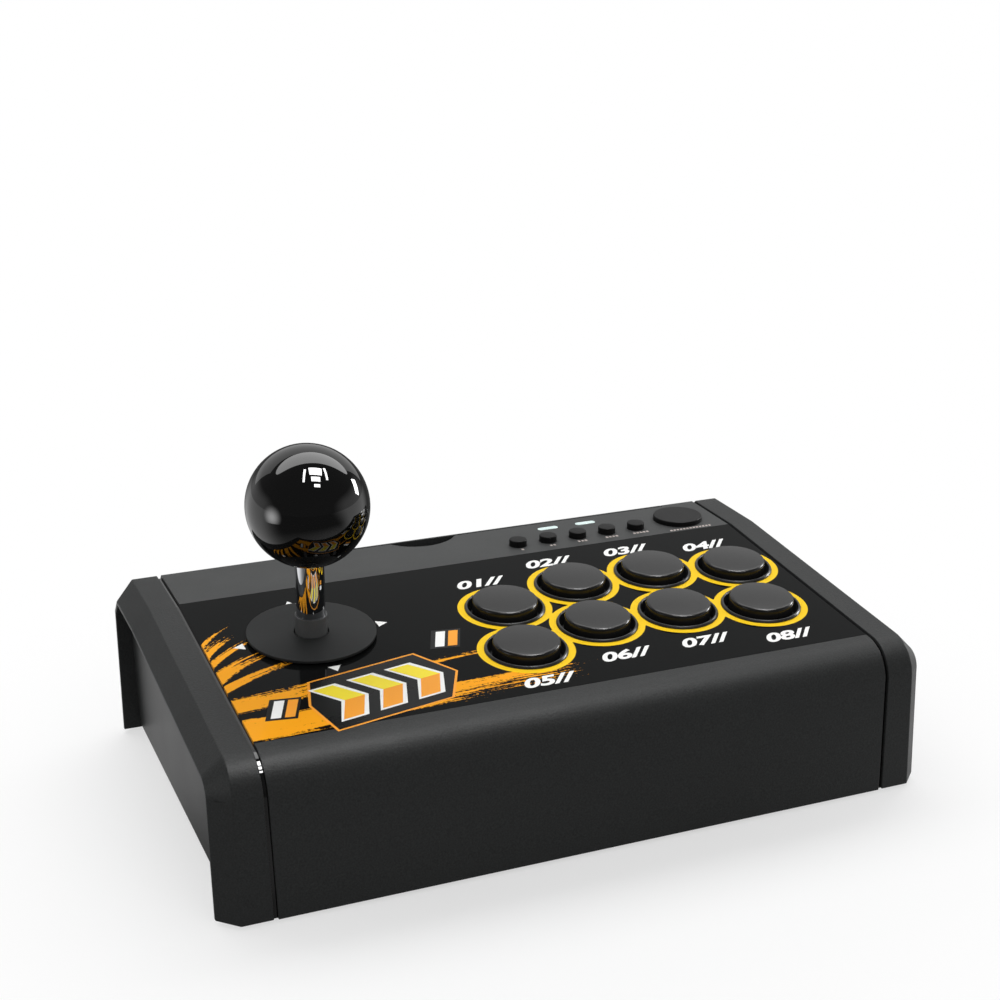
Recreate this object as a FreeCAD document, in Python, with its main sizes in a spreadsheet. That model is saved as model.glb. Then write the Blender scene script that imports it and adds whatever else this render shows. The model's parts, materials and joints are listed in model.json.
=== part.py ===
"""Arcade joystick panel: a small desk-top fight stick with eight main buttons.

The frame has X to the player's right, Y away from the player and Z up. The origin is on the
table, under the middle of the case. Sizes are millimetres.
"""

import FreeCAD
import Part
import Sketcher
import math
import os
import re

Vector = FreeCAD.Vector

# Driving dimensions: one named value for each size that can be set by itself.
DIMENSIONS = {
    # case outline, seen from the side
    "housing_half": 93.55,
    "trim_width": 1.2,
    "cap_width": 14.55,
    "foot_height": 1.0,
    "front_low_y": -67.7,
    "front_lean": 2.75,
    "strip_depth": 25.9,
    "ridge_z": 53.5,
    "panel_slope": 4.574,
    "chamfer_depth": 8.05,
    "rear_lean": 2.25,
    "chamfer_drop": 8.1,
    "rear_low_y": 67.7,
    "front_round": 11.0,
    "rear_round": 1.2,
    "case_wall": 3.0,
    # end caps
    "side_lean": 1.05,
    "cap_bevel": 5.6,
    "cap_lip": 1.2,
    "cap_wall": 2.2,
    "side_recess": 7.0,
    "side_web": 1.8,
    "side_panel_thick": 1.8,
    "side_panel_rise": 1.8,
    "trim_inset": 0.9,
    "trim_depth": 3.0,
    # plates on the case
    "plate_thick": 1.0,
    "plate_setback": 11.22,
    "strip_thick": 2.0,
    "seam": 0.15,
    "bottom_thick": 2.4,
    "base_rib_thick": 1.4,
    "base_rib_height": 1.8,
    "base_rib_pitch": 14.0,
    "post_radius": 3.5,
    "screw_radius": 1.3,
    "screw_length": 11.0,
    "screw_head_radius": 2.6,
    "screw_head_height": 1.5,
    "screw_fit": 0.1,
    "post_inset": 9.55,
    "post_setback": 13.7,
    "foot_radius": 6.0,
    "foot_recess": 0.8,
    "foot_edge": 0.3,
    "foot_inset": 13.55,
    "foot_front_setback": 27.7,
    "foot_rear_setback": 23.7,
    # rear door and the cable compartment behind it
    "door_left_x": -35.35,
    "door_width": 116.7,
    "door_gap": 0.35,
    "door_thick": 2.2,
    "door_lip": 0.8,
    "door_rest_width": 5.0,
    "hinge_clearance": 0.5,
    "hinge_pin_radius": 1.0,
    "running_fit": 0.06,
    "pin_overhang": 4.0,
    "lug_wall": 1.3,
    "notch_inset": 4.95,
    "notch_z": 13.9,
    "notch_height": 8.4,
    "tray_depth": 17.8,
    "tray_setback": 6.5,
    "tray_lift": 5.2,
    "tray_headroom": 1.8,
    "tray_inset": 0.75,
    "tray_overhang": 1.65,
    "tray_wall": 1.6,
    "tray_round": 3.0,
    "support_inset": 12.0,
    "support_thick": 4.0,
    "scoop_x": -7.1,
    "scoop_width": 23.0,
    "scoop_depth": 6.5,
    # main buttons
    "button_gap": 2.6,
    "button_edge_gap": 2.85,
    "well_wall": 0.6,
    "rim_overlap": 0.4,
    "button_rim_height": 0.8,
    "well_gap": 1.4,
    "button_well_depth": 3.6,
    "guide_length": 3.0,
    "barrel_wall": 0.7,
    "plunger_radius": 9.9,
    "plunger_height": 3.3,
    "plunger_edge": 0.9,
    "plunger_dome": 0.35,
    "plunger_fit": 0.1,
    "plunger_travel": 2.2,
    "plunger_flange": 0.7,
    "plunger_flange_thick": 1.4,
    "plunger_wall": 1.6,
    "stem_radius": 2.4,
    "switch_side": 6.0,
    "switch_height": 3.4,
    "switch_nub_radius": 1.6,
    "switch_nub_height": 1.0,
    "press_gap": 0.15,
    "board_thick": 1.6,
    "board_left_margin": 1.85,
    "board_right_margin": 0.7,
    "board_front_margin": 1.4,
    "board_rear_margin": 1.7,
    "board_setback": 12.0,
    # strip buttons and lamps
    "function_x": 20.05,
    "function_pitch": 10.7,
    "function_setback": 8.5,
    "function_radius": 2.88,
    "function_height": 2.1,
    "function_flange": 0.8,
    "function_stem": 1.5,
    "function_stem_end": 4.0,
    "function_travel": 0.8,
    "start_x": 80.15,
    "start_setback": 11.3,
    "start_radius": 8.24,
    "start_height": 1.6,
    "cap_edge": 0.4,
    "flange_thick": 1.0,
    "lamp_left_x": 35.5,
    "lamp_right_x": 49.3,
    "lamp_setback": 19.5,
    "lamp_length": 7.4,
    "lamp_width": 2.5,
    "lamp_proud": 0.1,
    "opening_left_margin": 4.17,
    "opening_right_margin": 2.61,
    "opening_lip": 1.7,
    "small_switch_side": 4.5,
    "small_switch_height": 2.4,
    "small_nub_radius": 1.2,
    "small_nub_height": 0.6,
    "strip_board_thick": 1.2,
    "strip_boss_radius": 2.4,
    "strip_boss_setback": 15.1,
    "board_screw_radius": 0.9,
    "board_screw_head_radius": 1.8,
    "board_screw_head_height": 0.6,
    # joystick
    "stick_x": -62.1,
    "stick_v": -32.0,
    "panel_hole": 13.0,
    "pivot_depth": 17.0,
    "stick_tilt": 8.5,
    "shaft_radius": 4.25,
    "collar_wall": 0.45,
    "collar_top": 7.0,
    "ball_radius": 17.5,
    "ball_height": 40.7,
    "ball_flat": 6.0,
    "washer_radius": 18.9,
    "washer_thick": 0.9,
    "washer_height": 0.65,
    "washer_fit": 0.3,
    "slide_inset": 2.9,
    "slide_thick": 0.4,
    "slide_height": 0.2,
    "mount_boss_radius": 3.4,
    "mount_boss_drop": 4.0,
    "mount_plate_thick": 1.6,
    "mount_plate_x": 60.0,
    "mount_plate_v": 44.0,
    "mount_margin": 4.0,
    "housing_side": 40.0,
    "housing_bottom": 23.0,
    "yoke_play": 2.9,
    "yoke_ring": 2.4,
    "yoke_gap": 3.95,
    "yoke_height": 4.4,
    "trunnion_radius": 1.4,
    "actuator_seat": 1.35,
    "actuator_top": 24.5,
    "actuator_overhang": 0.5,
    "gate_play": 3.1,
    "gate_drop": 7.5,
    "gate_thick": 2.0,
    "micro_length": 13.0,
    "micro_width": 6.0,
    "micro_height": 6.6,
    "blade_length": 3.2,
    "blade_width": 2.4,
    "blade_thick": 0.5,
    "blade_pitch": 4.4,
    "micro_gap": 2.4,
    "gate_post_radius": 2.4,
    "gate_post_inset": 1.0,
    "shaft_tail": 2.0,
    "clip_radius": 4.6,
    "clip_thick": 0.8,
    "shaft_neck": 2.5,
    "ball_bore_depth": 14.0,
    "spring_fit": 0.7,
    "spring_wire": 0.45,
    "spring_pitch": 1.5,
    # cable, its gland and its plug
    "cable_radius": 2.0,
    "gland_radius": 3.4,
    "relief_length": 8.0,
    "relief_radius": 3.0,
    "relief_ring": 1.5,
    "relief_pitch": 2.6,
    "grip_length": 28.0,
    "grip_width": 16.0,
    "grip_thick": 8.0,
    "grip_rib_pitch": 1.45,
    "grip_rib_gap": 0.6,
    "grip_rib_depth": 0.5,
    "window_length": 10.5,
    "window_depth": 0.5,
    "shell_length": 13.0,
    "shell_width": 12.0,
    "shell_thick": 4.5,
    "shell_wall": 0.4,
    "tongue_thick": 1.8,
}

# Sizes and places that follow from the ones above.
DERIVED = {
    "case_half": "housing_half + trim_width + cap_width",
    "front_top_y": "front_low_y + front_lean",
    "rear_mid_y": "rear_low_y - rear_lean",
    "rear_top_y": "rear_mid_y - chamfer_depth",
    "rear_mid_z": "ridge_z - chamfer_drop",
    "ridge_y": "rear_top_y - strip_depth",
    "plate_front": "(front_top_y + plate_setback - ridge_y)/cos(panel_slope)",
    "post_column_x": "housing_half - post_inset",
    "post_front_y": "front_low_y + post_setback",
    "post_rear_y": "ridge_y - post_radius",
    "foot_x": "housing_half - foot_inset",
    "foot_front_y": "front_low_y + foot_front_setback",
    "foot_rear_y": "rear_low_y - foot_rear_setback",
    "door_right_x": "door_left_x + door_width",
    "hinge_z": "foot_height + bottom_thick + hinge_clearance + door_thick",
    "notch_x": "door_right_x - notch_inset",
    "tray_rear_y": "rear_low_y - tray_setback",
    "tray_front_y": "tray_rear_y - tray_depth",
    "tray_low_z": "foot_height + bottom_thick + tray_lift",
    "tray_high_z": "rear_mid_z - tray_headroom",
    "tray_left_x": "door_left_x + tray_inset",
    "tray_right_x": "door_right_x + tray_overhang",
    "button_well": "plunger_radius + well_gap",
    "button_hole": "button_well + well_wall",
    "button_rim": "button_hole + rim_overlap",
    "button_pitch": "2*button_rim + button_gap",
    "buttons_x": "housing_half - button_rim - button_edge_gap",
    "buttons_v": "-board_setback - board_rear_margin - button_hole",
    "function_y": "ridge_y + function_setback",
    "start_y": "ridge_y + start_setback",
    "lamp_y": "ridge_y + lamp_setback",
    "opening_left_x": "function_x - function_radius - opening_left_margin",
    "opening_right_x": "start_x + start_radius + opening_right_margin",
    "opening_front_y": "ridge_y + opening_lip",
    "opening_rear_y": "rear_top_y - case_wall",
    "collar_radius": "shaft_radius + collar_wall",
    "washer_hole": "collar_radius + washer_fit",
    "slide_radius": "washer_radius - slide_inset",
    "mount_hole_x": "mount_plate_x - 2*mount_margin",
    "mount_hole_v": "mount_plate_v - 2*mount_margin",
    "yoke_inner": "shaft_radius + yoke_gap",
    "yoke_outer": "yoke_inner + yoke_ring",
    "housing_bore": "yoke_outer + yoke_play",
    "gate_side": "housing_side",
    "gate_top": "housing_bottom + gate_drop",
    "actuator_radius": "shaft_radius + actuator_seat",
    "gate_opening": "2*(actuator_radius + gate_play)",
    "gate_post_place": "gate_side/2 - gate_post_radius - gate_post_inset",
    "actuator_bottom": "gate_top + gate_thick + actuator_overhang",
    "micro_reach": "actuator_radius + micro_gap",
    "shaft_bottom": "actuator_bottom + shaft_tail",
    "spring_radius": "shaft_radius + spring_fit + spring_wire",
}

# Centres of the main buttons on the sloped panel, in steps of their pitch: across from the right
# one of the rear row, and up the slope from the rearmost one.
BUTTON_STEPS = [
    (-2.9577, -0.3107),
    (-1.989, -0.011),
    (-0.9706, 0.0),
    (0.0, -0.193),
    (-3.1121, -1.2904),
    (-2.1415, -0.9926),
    (-1.1544, -1.0074),
    (-0.1912, -1.1838),
]
MAIN_BUTTONS = [
    (f"buttons_x + ({across})*button_pitch", f"buttons_v + ({up})*button_pitch")
    for across, up in BUTTON_STEPS
]

# Corners of the cable's route, from the gland to the plug, with the plug's end last: x, then y
# from the case's rear edge at the base, then z.
CABLE_ROUTE = [
    (72.3, -18.5, 15.0),
    (72.3, -11.7, 15.0),
    (74.6, -4.3, 13.4),
    (84.8, 7.5, 12.0),
    (92.6, 18.7, 7.6),
    (97.2, 30.1, 4.0),
    (99.0, 38.5, 4.0),
]

FUNCTION_BUTTON_NAMES = ["home", "share", "turbo", "left_mode", "right_mode"]
GRIP_RIBS = 6
RELIEF_RINGS = 3
BASE_RIBS = 5

document = FreeCAD.newDocument("arcade_joystick_panel")
sheet = document.addObject("Spreadsheet::Sheet", "Dimensions")
for row, (alias, size) in enumerate(DIMENSIONS.items(), start=1):
    sheet.set(f"A{row}", alias.replace("_", " "))
    sheet.set(f"B{row}", repr(float(size)))
    sheet.setAlias(f"B{row}", alias)
document.recompute()

nodes = []


# ---------------------------------------------------------------- helpers


def formula(text):
    """Turn a formula of dimension names into one that points at the sheet's cells."""

    def point(match):
        word = match.group()
        if word in DERIVED:
            return f"({formula(DERIVED[word])})"
        return f"Dimensions.{word}" if word in DIMENSIONS else word

    return re.sub(r"[a-z_]+", point, text)


def number(text):
    """The value of a formula, for placing a sketch's geometry before its constraints."""
    result = sheet.evalExpression(formula(str(text)))
    return float(getattr(result, "Value", result))


def bind(target, path, text):
    """Drive one property of an object by a formula of dimension names."""
    target.setExpression(path, formula(text))


def part_body(name):
    """A new body, which becomes one node of the assembly."""
    body = document.addObject("PartDesign::Body", name)
    body.Label = name
    nodes.append(body)
    return body


def on_panel(item, x="0", v="0", lift="0"):
    """Put a part on the sloped panel: x across, v up the slope, lift along its normal."""
    item.Placement = FreeCAD.Placement(Vector(), FreeCAD.Rotation(Vector(1, 0, 0), 1))
    bind(item, "Placement.Rotation.Angle", "panel_slope")
    bind(item, "Placement.Base.x", x)
    bind(item, "Placement.Base.y", f"ridge_y + ({v})*cos(panel_slope) - ({lift})*sin(panel_slope)")
    bind(item, "Placement.Base.z", f"ridge_z + ({v})*sin(panel_slope) + ({lift})*cos(panel_slope)")


def on_strip(item, x, y, lift="0"):
    """Put a part on the level control strip."""
    bind(item, "Placement.Base.x", x)
    bind(item, "Placement.Base.y", y)
    bind(item, "Placement.Base.z", f"ridge_z + {lift}")


def add_sketch(body, plane, name, offset="0"):
    """A sketch on one of the body's origin planes, moved along the plane's normal."""
    sketch = body.newObject("Sketcher::SketchObject", name)
    origin = next(item for item in body.Origin.OriginFeatures if item.Role == plane)
    sketch.AttachmentSupport = [(origin, "")]
    sketch.MapMode = "FlatFace"
    bind(sketch, "AttachmentOffset.Base.z", offset)
    return sketch


def add_panel_sketch(body, name, lift="0"):
    """A sketch parallel to the sloped panel, in a body that keeps the case's own frame."""
    sketch = add_sketch(body, "XY_Plane", name)
    sketch.AttachmentOffset = FreeCAD.Placement(Vector(), FreeCAD.Rotation(Vector(1, 0, 0), 1))
    bind(sketch, "AttachmentOffset.Rotation.Angle", "panel_slope")
    bind(sketch, "AttachmentOffset.Base.y", f"ridge_y - ({lift})*sin(panel_slope)")
    bind(sketch, "AttachmentOffset.Base.z", f"ridge_z + ({lift})*cos(panel_slope)")
    return sketch


def fix_point(sketch, geometry, position, x, y):
    """Hold one point of a sketch at two formulas, measured from the sketch's origin."""
    for kind, text in (("DistanceX", x), ("DistanceY", y)):
        constraint = Sketcher.Constraint(kind, -1, 1, geometry, position, number(text))
        bind(sketch, f"Constraints[{sketch.addConstraint(constraint)}]", text)


def add_circle(sketch, x, y, radius):
    """A circle whose centre and radius follow the sheet."""
    centre = Vector(number(x), number(y), 0)
    index = sketch.addGeometry(Part.Circle(centre, Vector(0, 0, 1), number(radius)))
    fix_point(sketch, index, 3, x, y)
    size = sketch.addConstraint(Sketcher.Constraint("Radius", index, number(radius)))
    bind(sketch, f"Constraints[{size}]", radius)


def add_corner_arc(sketch, centre, arriving, leaving):
    """The short arc between two tangent points; also says which of its ends is which."""
    spokes = [arriving - centre, leaving - centre]
    turns_left = spokes[0].cross(spokes[1]).z > 0
    start, end = spokes if turns_left else reversed(spokes)
    circle = Part.Circle(centre, Vector(0, 0, 1), start.Length)
    angles = [math.atan2(spoke.y, spoke.x) for spoke in (start, end)]
    arc = sketch.addGeometry(Part.ArcOfCircle(circle, *angles))
    return (arc, 1, 2) if turns_left else (arc, 2, 1)


def add_outline(sketch, corners, rounds=None):
    """A closed outline of straight edges; rounds gives some corners a tangent arc."""
    rounds = rounds or {}
    points = [Vector(number(x), number(y), 0) for x, y in corners]
    count = len(points)
    starts = list(points)
    ends = list(points)
    centres = {}
    for corner, radius in rounds.items():
        before = (points[corner - 1] - points[corner]).normalize()
        after = (points[(corner + 1) % count] - points[corner]).normalize()
        half = before.getAngle(after) / 2
        reach = number(radius) / math.tan(half)
        ends[corner] = points[corner] + before * reach
        starts[corner] = points[corner] + after * reach
        middle = (before + after).normalize()
        centres[corner] = points[corner] + middle * (number(radius) / math.sin(half))
    lines = []
    for corner in range(count):
        following = (corner + 1) % count
        lines.append(sketch.addGeometry(Part.LineSegment(starts[corner], ends[following])))
    for corner in range(count):
        arriving = lines[corner - 1]
        leaving = lines[corner]
        x, y = corners[corner]
        if corner not in rounds:
            sketch.addConstraint(Sketcher.Constraint("Coincident", arriving, 2, leaving, 1))
            fix_point(sketch, leaving, 1, x, y)
            continue
        arc, first, last = add_corner_arc(sketch, centres[corner], ends[corner], starts[corner])
        sketch.addConstraint(Sketcher.Constraint("Tangent", arriving, 2, arc, first))
        sketch.addConstraint(Sketcher.Constraint("Tangent", leaving, 1, arc, last))
        tip = sketch.addGeometry(Part.Point(points[corner]), True)
        fix_point(sketch, tip, 1, x, y)
        sketch.addConstraint(Sketcher.Constraint("PointOnObject", tip, 1, arriving))
        sketch.addConstraint(Sketcher.Constraint("PointOnObject", tip, 1, leaving))
        size = sketch.addConstraint(Sketcher.Constraint("Radius", arc, number(rounds[corner])))
        bind(sketch, f"Constraints[{size}]", rounds[corner])


def add_rectangle(sketch, left, right, low, high, rounding=None):
    """An upright rectangle between four formulas, with its corners rounded on request."""
    corners = [(left, low), (right, low), (right, high), (left, high)]
    rounds = {corner: rounding for corner in range(4)} if rounding else None
    add_outline(sketch, corners, rounds)


def add_slot(sketch, x, y, length, width):
    """A pill outline along the sketch's x axis, around a centre."""
    half = f"({length})/2"
    side = f"({width})/2"
    corners = [
        (f"{x} - {half}", f"{y} - {side}"),
        (f"{x} + {half}", f"{y} - {side}"),
        (f"{x} + {half}", f"{y} + {side}"),
        (f"{x} - {half}", f"{y} + {side}"),
    ]
    add_outline(sketch, corners, {corner: f"0.98*{side}" for corner in range(4)})


def finish_feature(feature, grows):
    """Recompute a feature and make sure that it added or removed material."""
    base = feature.BaseFeature
    before = base.Shape.Volume if base else 0.0
    document.recompute()
    change = feature.Shape.Volume - before
    if (change > 1e-6) != grows or abs(change) <= 1e-6:
        raise RuntimeError(f"{feature.Name} changed the volume by {change:.3f}")
    return feature


def pad(body, sketch, length, both_ways=False, backwards=False):
    """Raise a sketch into material."""
    feature = body.newObject("PartDesign::Pad", sketch.Name + "_pad")
    feature.Profile = sketch
    feature.SideType = "Symmetric" if both_ways else "One side"
    feature.Reversed = backwards
    bind(feature, "Length", length)
    return finish_feature(feature, True)


def pocket(body, sketch, depth, both_ways=False, backwards=False):
    """Cut a sketch out of the material."""
    feature = body.newObject("PartDesign::Pocket", sketch.Name + "_cut")
    feature.Profile = sketch
    feature.SideType = "Symmetric" if both_ways else "One side"
    feature.Reversed = backwards
    bind(feature, "Length", depth)
    return finish_feature(feature, False)


def revolve(body, sketch, turn="360"):
    """Turn a sketch about its own upright axis."""
    feature = body.newObject("PartDesign::Revolution", sketch.Name + "_turned")
    feature.Profile = sketch
    feature.ReferenceAxis = (sketch, ["V_Axis"])
    bind(feature, "Angle", turn)
    return finish_feature(feature, True)


def edge_names(feature, wanted):
    """Names of the feature's edges whose midpoint and direction suit a test."""
    found = []
    for index, edge in enumerate(feature.Shape.Edges, start=1):
        middle = edge.valueAt((edge.FirstParameter + edge.LastParameter) / 2)
        if wanted(edge, middle):
            found.append(f"Edge{index}")
    if not found:
        raise RuntimeError(f"no edge of {feature.Name} suits the test")
    return found


def soften(body, kind, feature, wanted, size):
    """Fillet or chamfer the edges of a feature that suit a test."""
    softened = body.newObject(f"PartDesign::{kind}", f"{feature.Name}_{kind.lower()}")
    softened.Base = (feature, edge_names(feature, wanted))
    bind(softened, "Radius" if kind == "Fillet" else "Size", size)
    document.recompute()
    return softened


def mirror_node(name, source):
    """The left-hand twin of a right-hand part."""
    twin = document.addObject("Part::Mirroring", name)
    twin.Label = name
    twin.Source = source
    twin.Normal = Vector(1, 0, 0)
    nodes.append(twin)
    return twin


def primitive(kind, name, **formulas):
    """A Part primitive whose properties follow the sheet."""
    item = document.addObject(f"Part::{kind}", name)
    for path, text in formulas.items():
        bind(item, path.replace("__", "."), text)
    return item


def combine(kind, name, shapes, node=True):
    """Fuse, or group as separate solids, several shapes into one named part."""
    item = document.addObject(f"Part::{kind}", name)
    if kind == "MultiFuse":
        item.Shapes = shapes
        item.Refine = True
    else:
        item.Links = shapes
    item.Label = name
    if node:
        nodes.append(item)
    return item


# How far each sloping wall runs along y for one millimetre of height.
FRONT_RISE = "(ridge_z + (front_top_y - ridge_y)*tan(panel_slope) - foot_height)"
FRONT_RUN = f"(front_top_y - front_low_y)/{FRONT_RISE}"
REAR_RUN = "(rear_low_y - rear_mid_y)/(rear_mid_z - foot_height)"
CHAMFER_RUN = "(rear_mid_y - rear_top_y)/(ridge_z - rear_mid_z)"


def case_corners(inset="0", drop="0"):
    """The case's side outline in y and z, moved inward, with the bottom edge lowered by drop."""
    chamfer = "atan((ridge_z - rear_mid_z)/(rear_mid_y - rear_top_y))"
    front_y = f"front_top_y + {inset}"
    front_z = f"ridge_z + ({front_y} - ridge_y)*tan(panel_slope) - ({inset})/cos(panel_slope)"
    return [
        (f"front_low_y + {inset} - ({drop})*{FRONT_RUN}", f"foot_height - ({drop})"),
        (front_y, front_z),
        ("ridge_y", f"ridge_z - ({inset})"),
        (f"rear_top_y - ({inset})*tan({chamfer}/2)", f"ridge_z - ({inset})"),
        (f"rear_mid_y - ({inset})", f"rear_mid_z - ({inset})*tan(45 deg - {chamfer}/2)"),
        (f"rear_low_y - ({inset}) + ({drop})*{REAR_RUN}", f"foot_height - ({drop})"),
    ]


def add_case_outline(sketch, inset="0", drop="0", soft_rear=False):
    """The case's side outline with its big front round and, on request, a soft rear edge."""
    rounds = {1: f"front_round - ({inset})"}
    if soft_rear:
        rounds[4] = "rear_round"
    add_outline(sketch, case_corners(inset, drop), rounds)


def rear_wall_y(z):
    """Formula of the rear wall's outer y at a height."""
    return f"rear_low_y - ({z} - foot_height)*{REAR_RUN}"


HINGE_Y = f"{rear_wall_y('hinge_z')} - door_thick"
STRIP_SEAT = "ridge_z - strip_thick"
POST_COLUMNS = ("-post_column_x", "0", "post_column_x")
POSTS = [(x, y) for y in ("post_front_y", "post_rear_y") for x in POST_COLUMNS]
BOSS_X = ("-mount_hole_x/2", "mount_hole_x/2")
BOSS_V = ("-mount_hole_v/2", "mount_hole_v/2")
MOUNT_BOSSES = [(f"stick_x + {x}", f"stick_v + {v}") for x in BOSS_X for v in BOSS_V]
PLATE_TOP = "case_wall + mount_boss_drop"
GUIDE_LOW = "button_well_depth + guide_length"
SKIRT_LOW = f"{GUIDE_LOW} + press_gap/3 + plunger_flange_thick"
STRIP_BOSSES = [
    ("function_x + 0.5*function_pitch", "ridge_y + strip_boss_setback"),
    ("function_x + 4*function_pitch", "ridge_y + strip_boss_setback"),
]
BOARD_TOP = f"{SKIRT_LOW} + plunger_travel + press_gap + switch_nub_height + switch_height"
STRIP_BOARD_TOP = (
    "function_stem_end + function_travel + press_gap + small_nub_height + small_switch_height"
)


# ---------------------------------------------------------------- case shell


def make_top_case():
    """Centre housing: front wall, front round, panel, rear chamfer and rear wall in one shell."""
    body = part_body("top_case")
    sketch = add_sketch(body, "YZ_Plane", "housing_profile")
    add_case_outline(sketch, soft_rear=True)
    pad(body, sketch, "2*housing_half", both_ways=True)
    sketch = add_sketch(body, "YZ_Plane", "housing_inside")
    add_case_outline(sketch, "case_wall", "1")
    pocket(body, sketch, "2*housing_half + 2", both_ways=True)

    sketch = add_panel_sketch(body, "plate_recess", "1")
    add_rectangle(sketch, "-housing_half - 1", "housing_half + 1", "plate_front", "0")
    pocket(body, sketch, "plate_thick + 1")
    sketch = add_sketch(body, "YZ_Plane", "strip_recess")
    rear = f"rear_top_y + strip_thick*{CHAMFER_RUN}"
    add_outline(
        sketch,
        [
            ("ridge_y", STRIP_SEAT),
            (f"{rear} + 1", STRIP_SEAT),
            (f"{rear} + 1", "ridge_z + 1"),
            ("ridge_y", "ridge_z + 1"),
        ],
    )
    pocket(body, sketch, "2*housing_half + 2", both_ways=True)

    sketch = add_panel_sketch(body, "panel_holes", "1")
    for x, v in MAIN_BUTTONS:
        add_circle(sketch, x, v, "button_hole")
    add_circle(sketch, "stick_x", "stick_v", "panel_hole")
    pocket(body, sketch, "case_wall + 3")
    sketch = add_sketch(body, "XY_Plane", "strip_opening", "ridge_z")
    add_rectangle(
        sketch, "opening_left_x", "opening_right_x", "opening_front_y", "opening_rear_y"
    )
    pocket(body, sketch, "case_wall + 1")

    sketch = add_sketch(body, "YZ_Plane", "door_opening", "door_left_x")
    add_outline(
        sketch,
        [
            ("rear_top_y - case_wall", STRIP_SEAT),
            ("rear_top_y - case_wall", "foot_height - 1"),
            ("rear_low_y + 1", "foot_height - 1"),
            ("rear_low_y + 1", STRIP_SEAT),
        ],
    )
    pocket(body, sketch, "door_right_x - door_left_x", backwards=True)
    for low_x in ("door_left_x - pin_overhang - 1", "door_right_x"):
        sketch = add_sketch(body, "YZ_Plane", "hinge_lug", low_x)
        lug = "hinge_pin_radius + lug_wall"
        add_rectangle(
            sketch,
            f"{HINGE_Y} - ({lug})",
            f"{HINGE_Y} + door_thick - 0.5",
            f"hinge_z - ({lug})",
            f"hinge_z + {lug}",
        )
        pad(body, sketch, "pin_overhang + 1")
    sketch = add_sketch(body, "YZ_Plane", "door_rest", "door_right_x - door_rest_width")
    rest_top = "hinge_z - door_thick - door_gap"
    add_rectangle(
        sketch,
        f"{rear_wall_y('foot_height')} - case_wall",
        f"{rear_wall_y('foot_height')} - 0.3*case_wall",
        "foot_height",
        rest_top,
    )
    pad(body, sketch, "door_rest_width + 1")
    sketch = add_sketch(body, "YZ_Plane", "hinge_pin_bore", "door_left_x - pin_overhang")
    add_circle(sketch, HINGE_Y, "hinge_z", "hinge_pin_radius")
    pocket(body, sketch, "door_right_x - door_left_x + 2*pin_overhang", backwards=True)

    for x, y in POSTS:
        top = f"ridge_z + ({y} - ridge_y)*tan(panel_slope) - 0.6*case_wall"
        sketch = add_sketch(body, "XY_Plane", "screw_post", "foot_height + bottom_thick")
        add_circle(sketch, x, y, "post_radius")
        pad(body, sketch, f"{top} - foot_height - bottom_thick")
    sketch = add_sketch(body, "XY_Plane", "screw_holes", "foot_height + bottom_thick")
    for x, y in POSTS:
        add_circle(sketch, x, y, "screw_radius")
    pocket(body, sketch, "screw_length", backwards=True)

    sketch = add_panel_sketch(body, "mount_bosses", "-case_wall - mount_boss_drop")
    for x, v in MOUNT_BOSSES:
        add_circle(sketch, x, v, "mount_boss_radius")
    pad(body, sketch, "mount_boss_drop + 0.3*case_wall")
    sketch = add_panel_sketch(body, "mount_boss_holes", "-case_wall - mount_boss_drop")
    for x, v in MOUNT_BOSSES:
        add_circle(sketch, x, v, "screw_radius")
    pocket(body, sketch, "mount_boss_drop", backwards=True)


def make_faceplate():
    """Thin glossy plate let into the sloped panel, flush with the front round."""
    body = part_body("faceplate")
    sketch = add_sketch(body, "XY_Plane", "plate_outline", "-plate_thick")
    add_rectangle(sketch, "-housing_half", "housing_half", "plate_front + seam", "-seam")
    for x, v in MAIN_BUTTONS:
        add_circle(sketch, x, v, "button_hole")
    add_circle(sketch, "stick_x", "stick_v", "panel_hole")
    pad(body, sketch, "plate_thick")
    on_panel(body)


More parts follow.
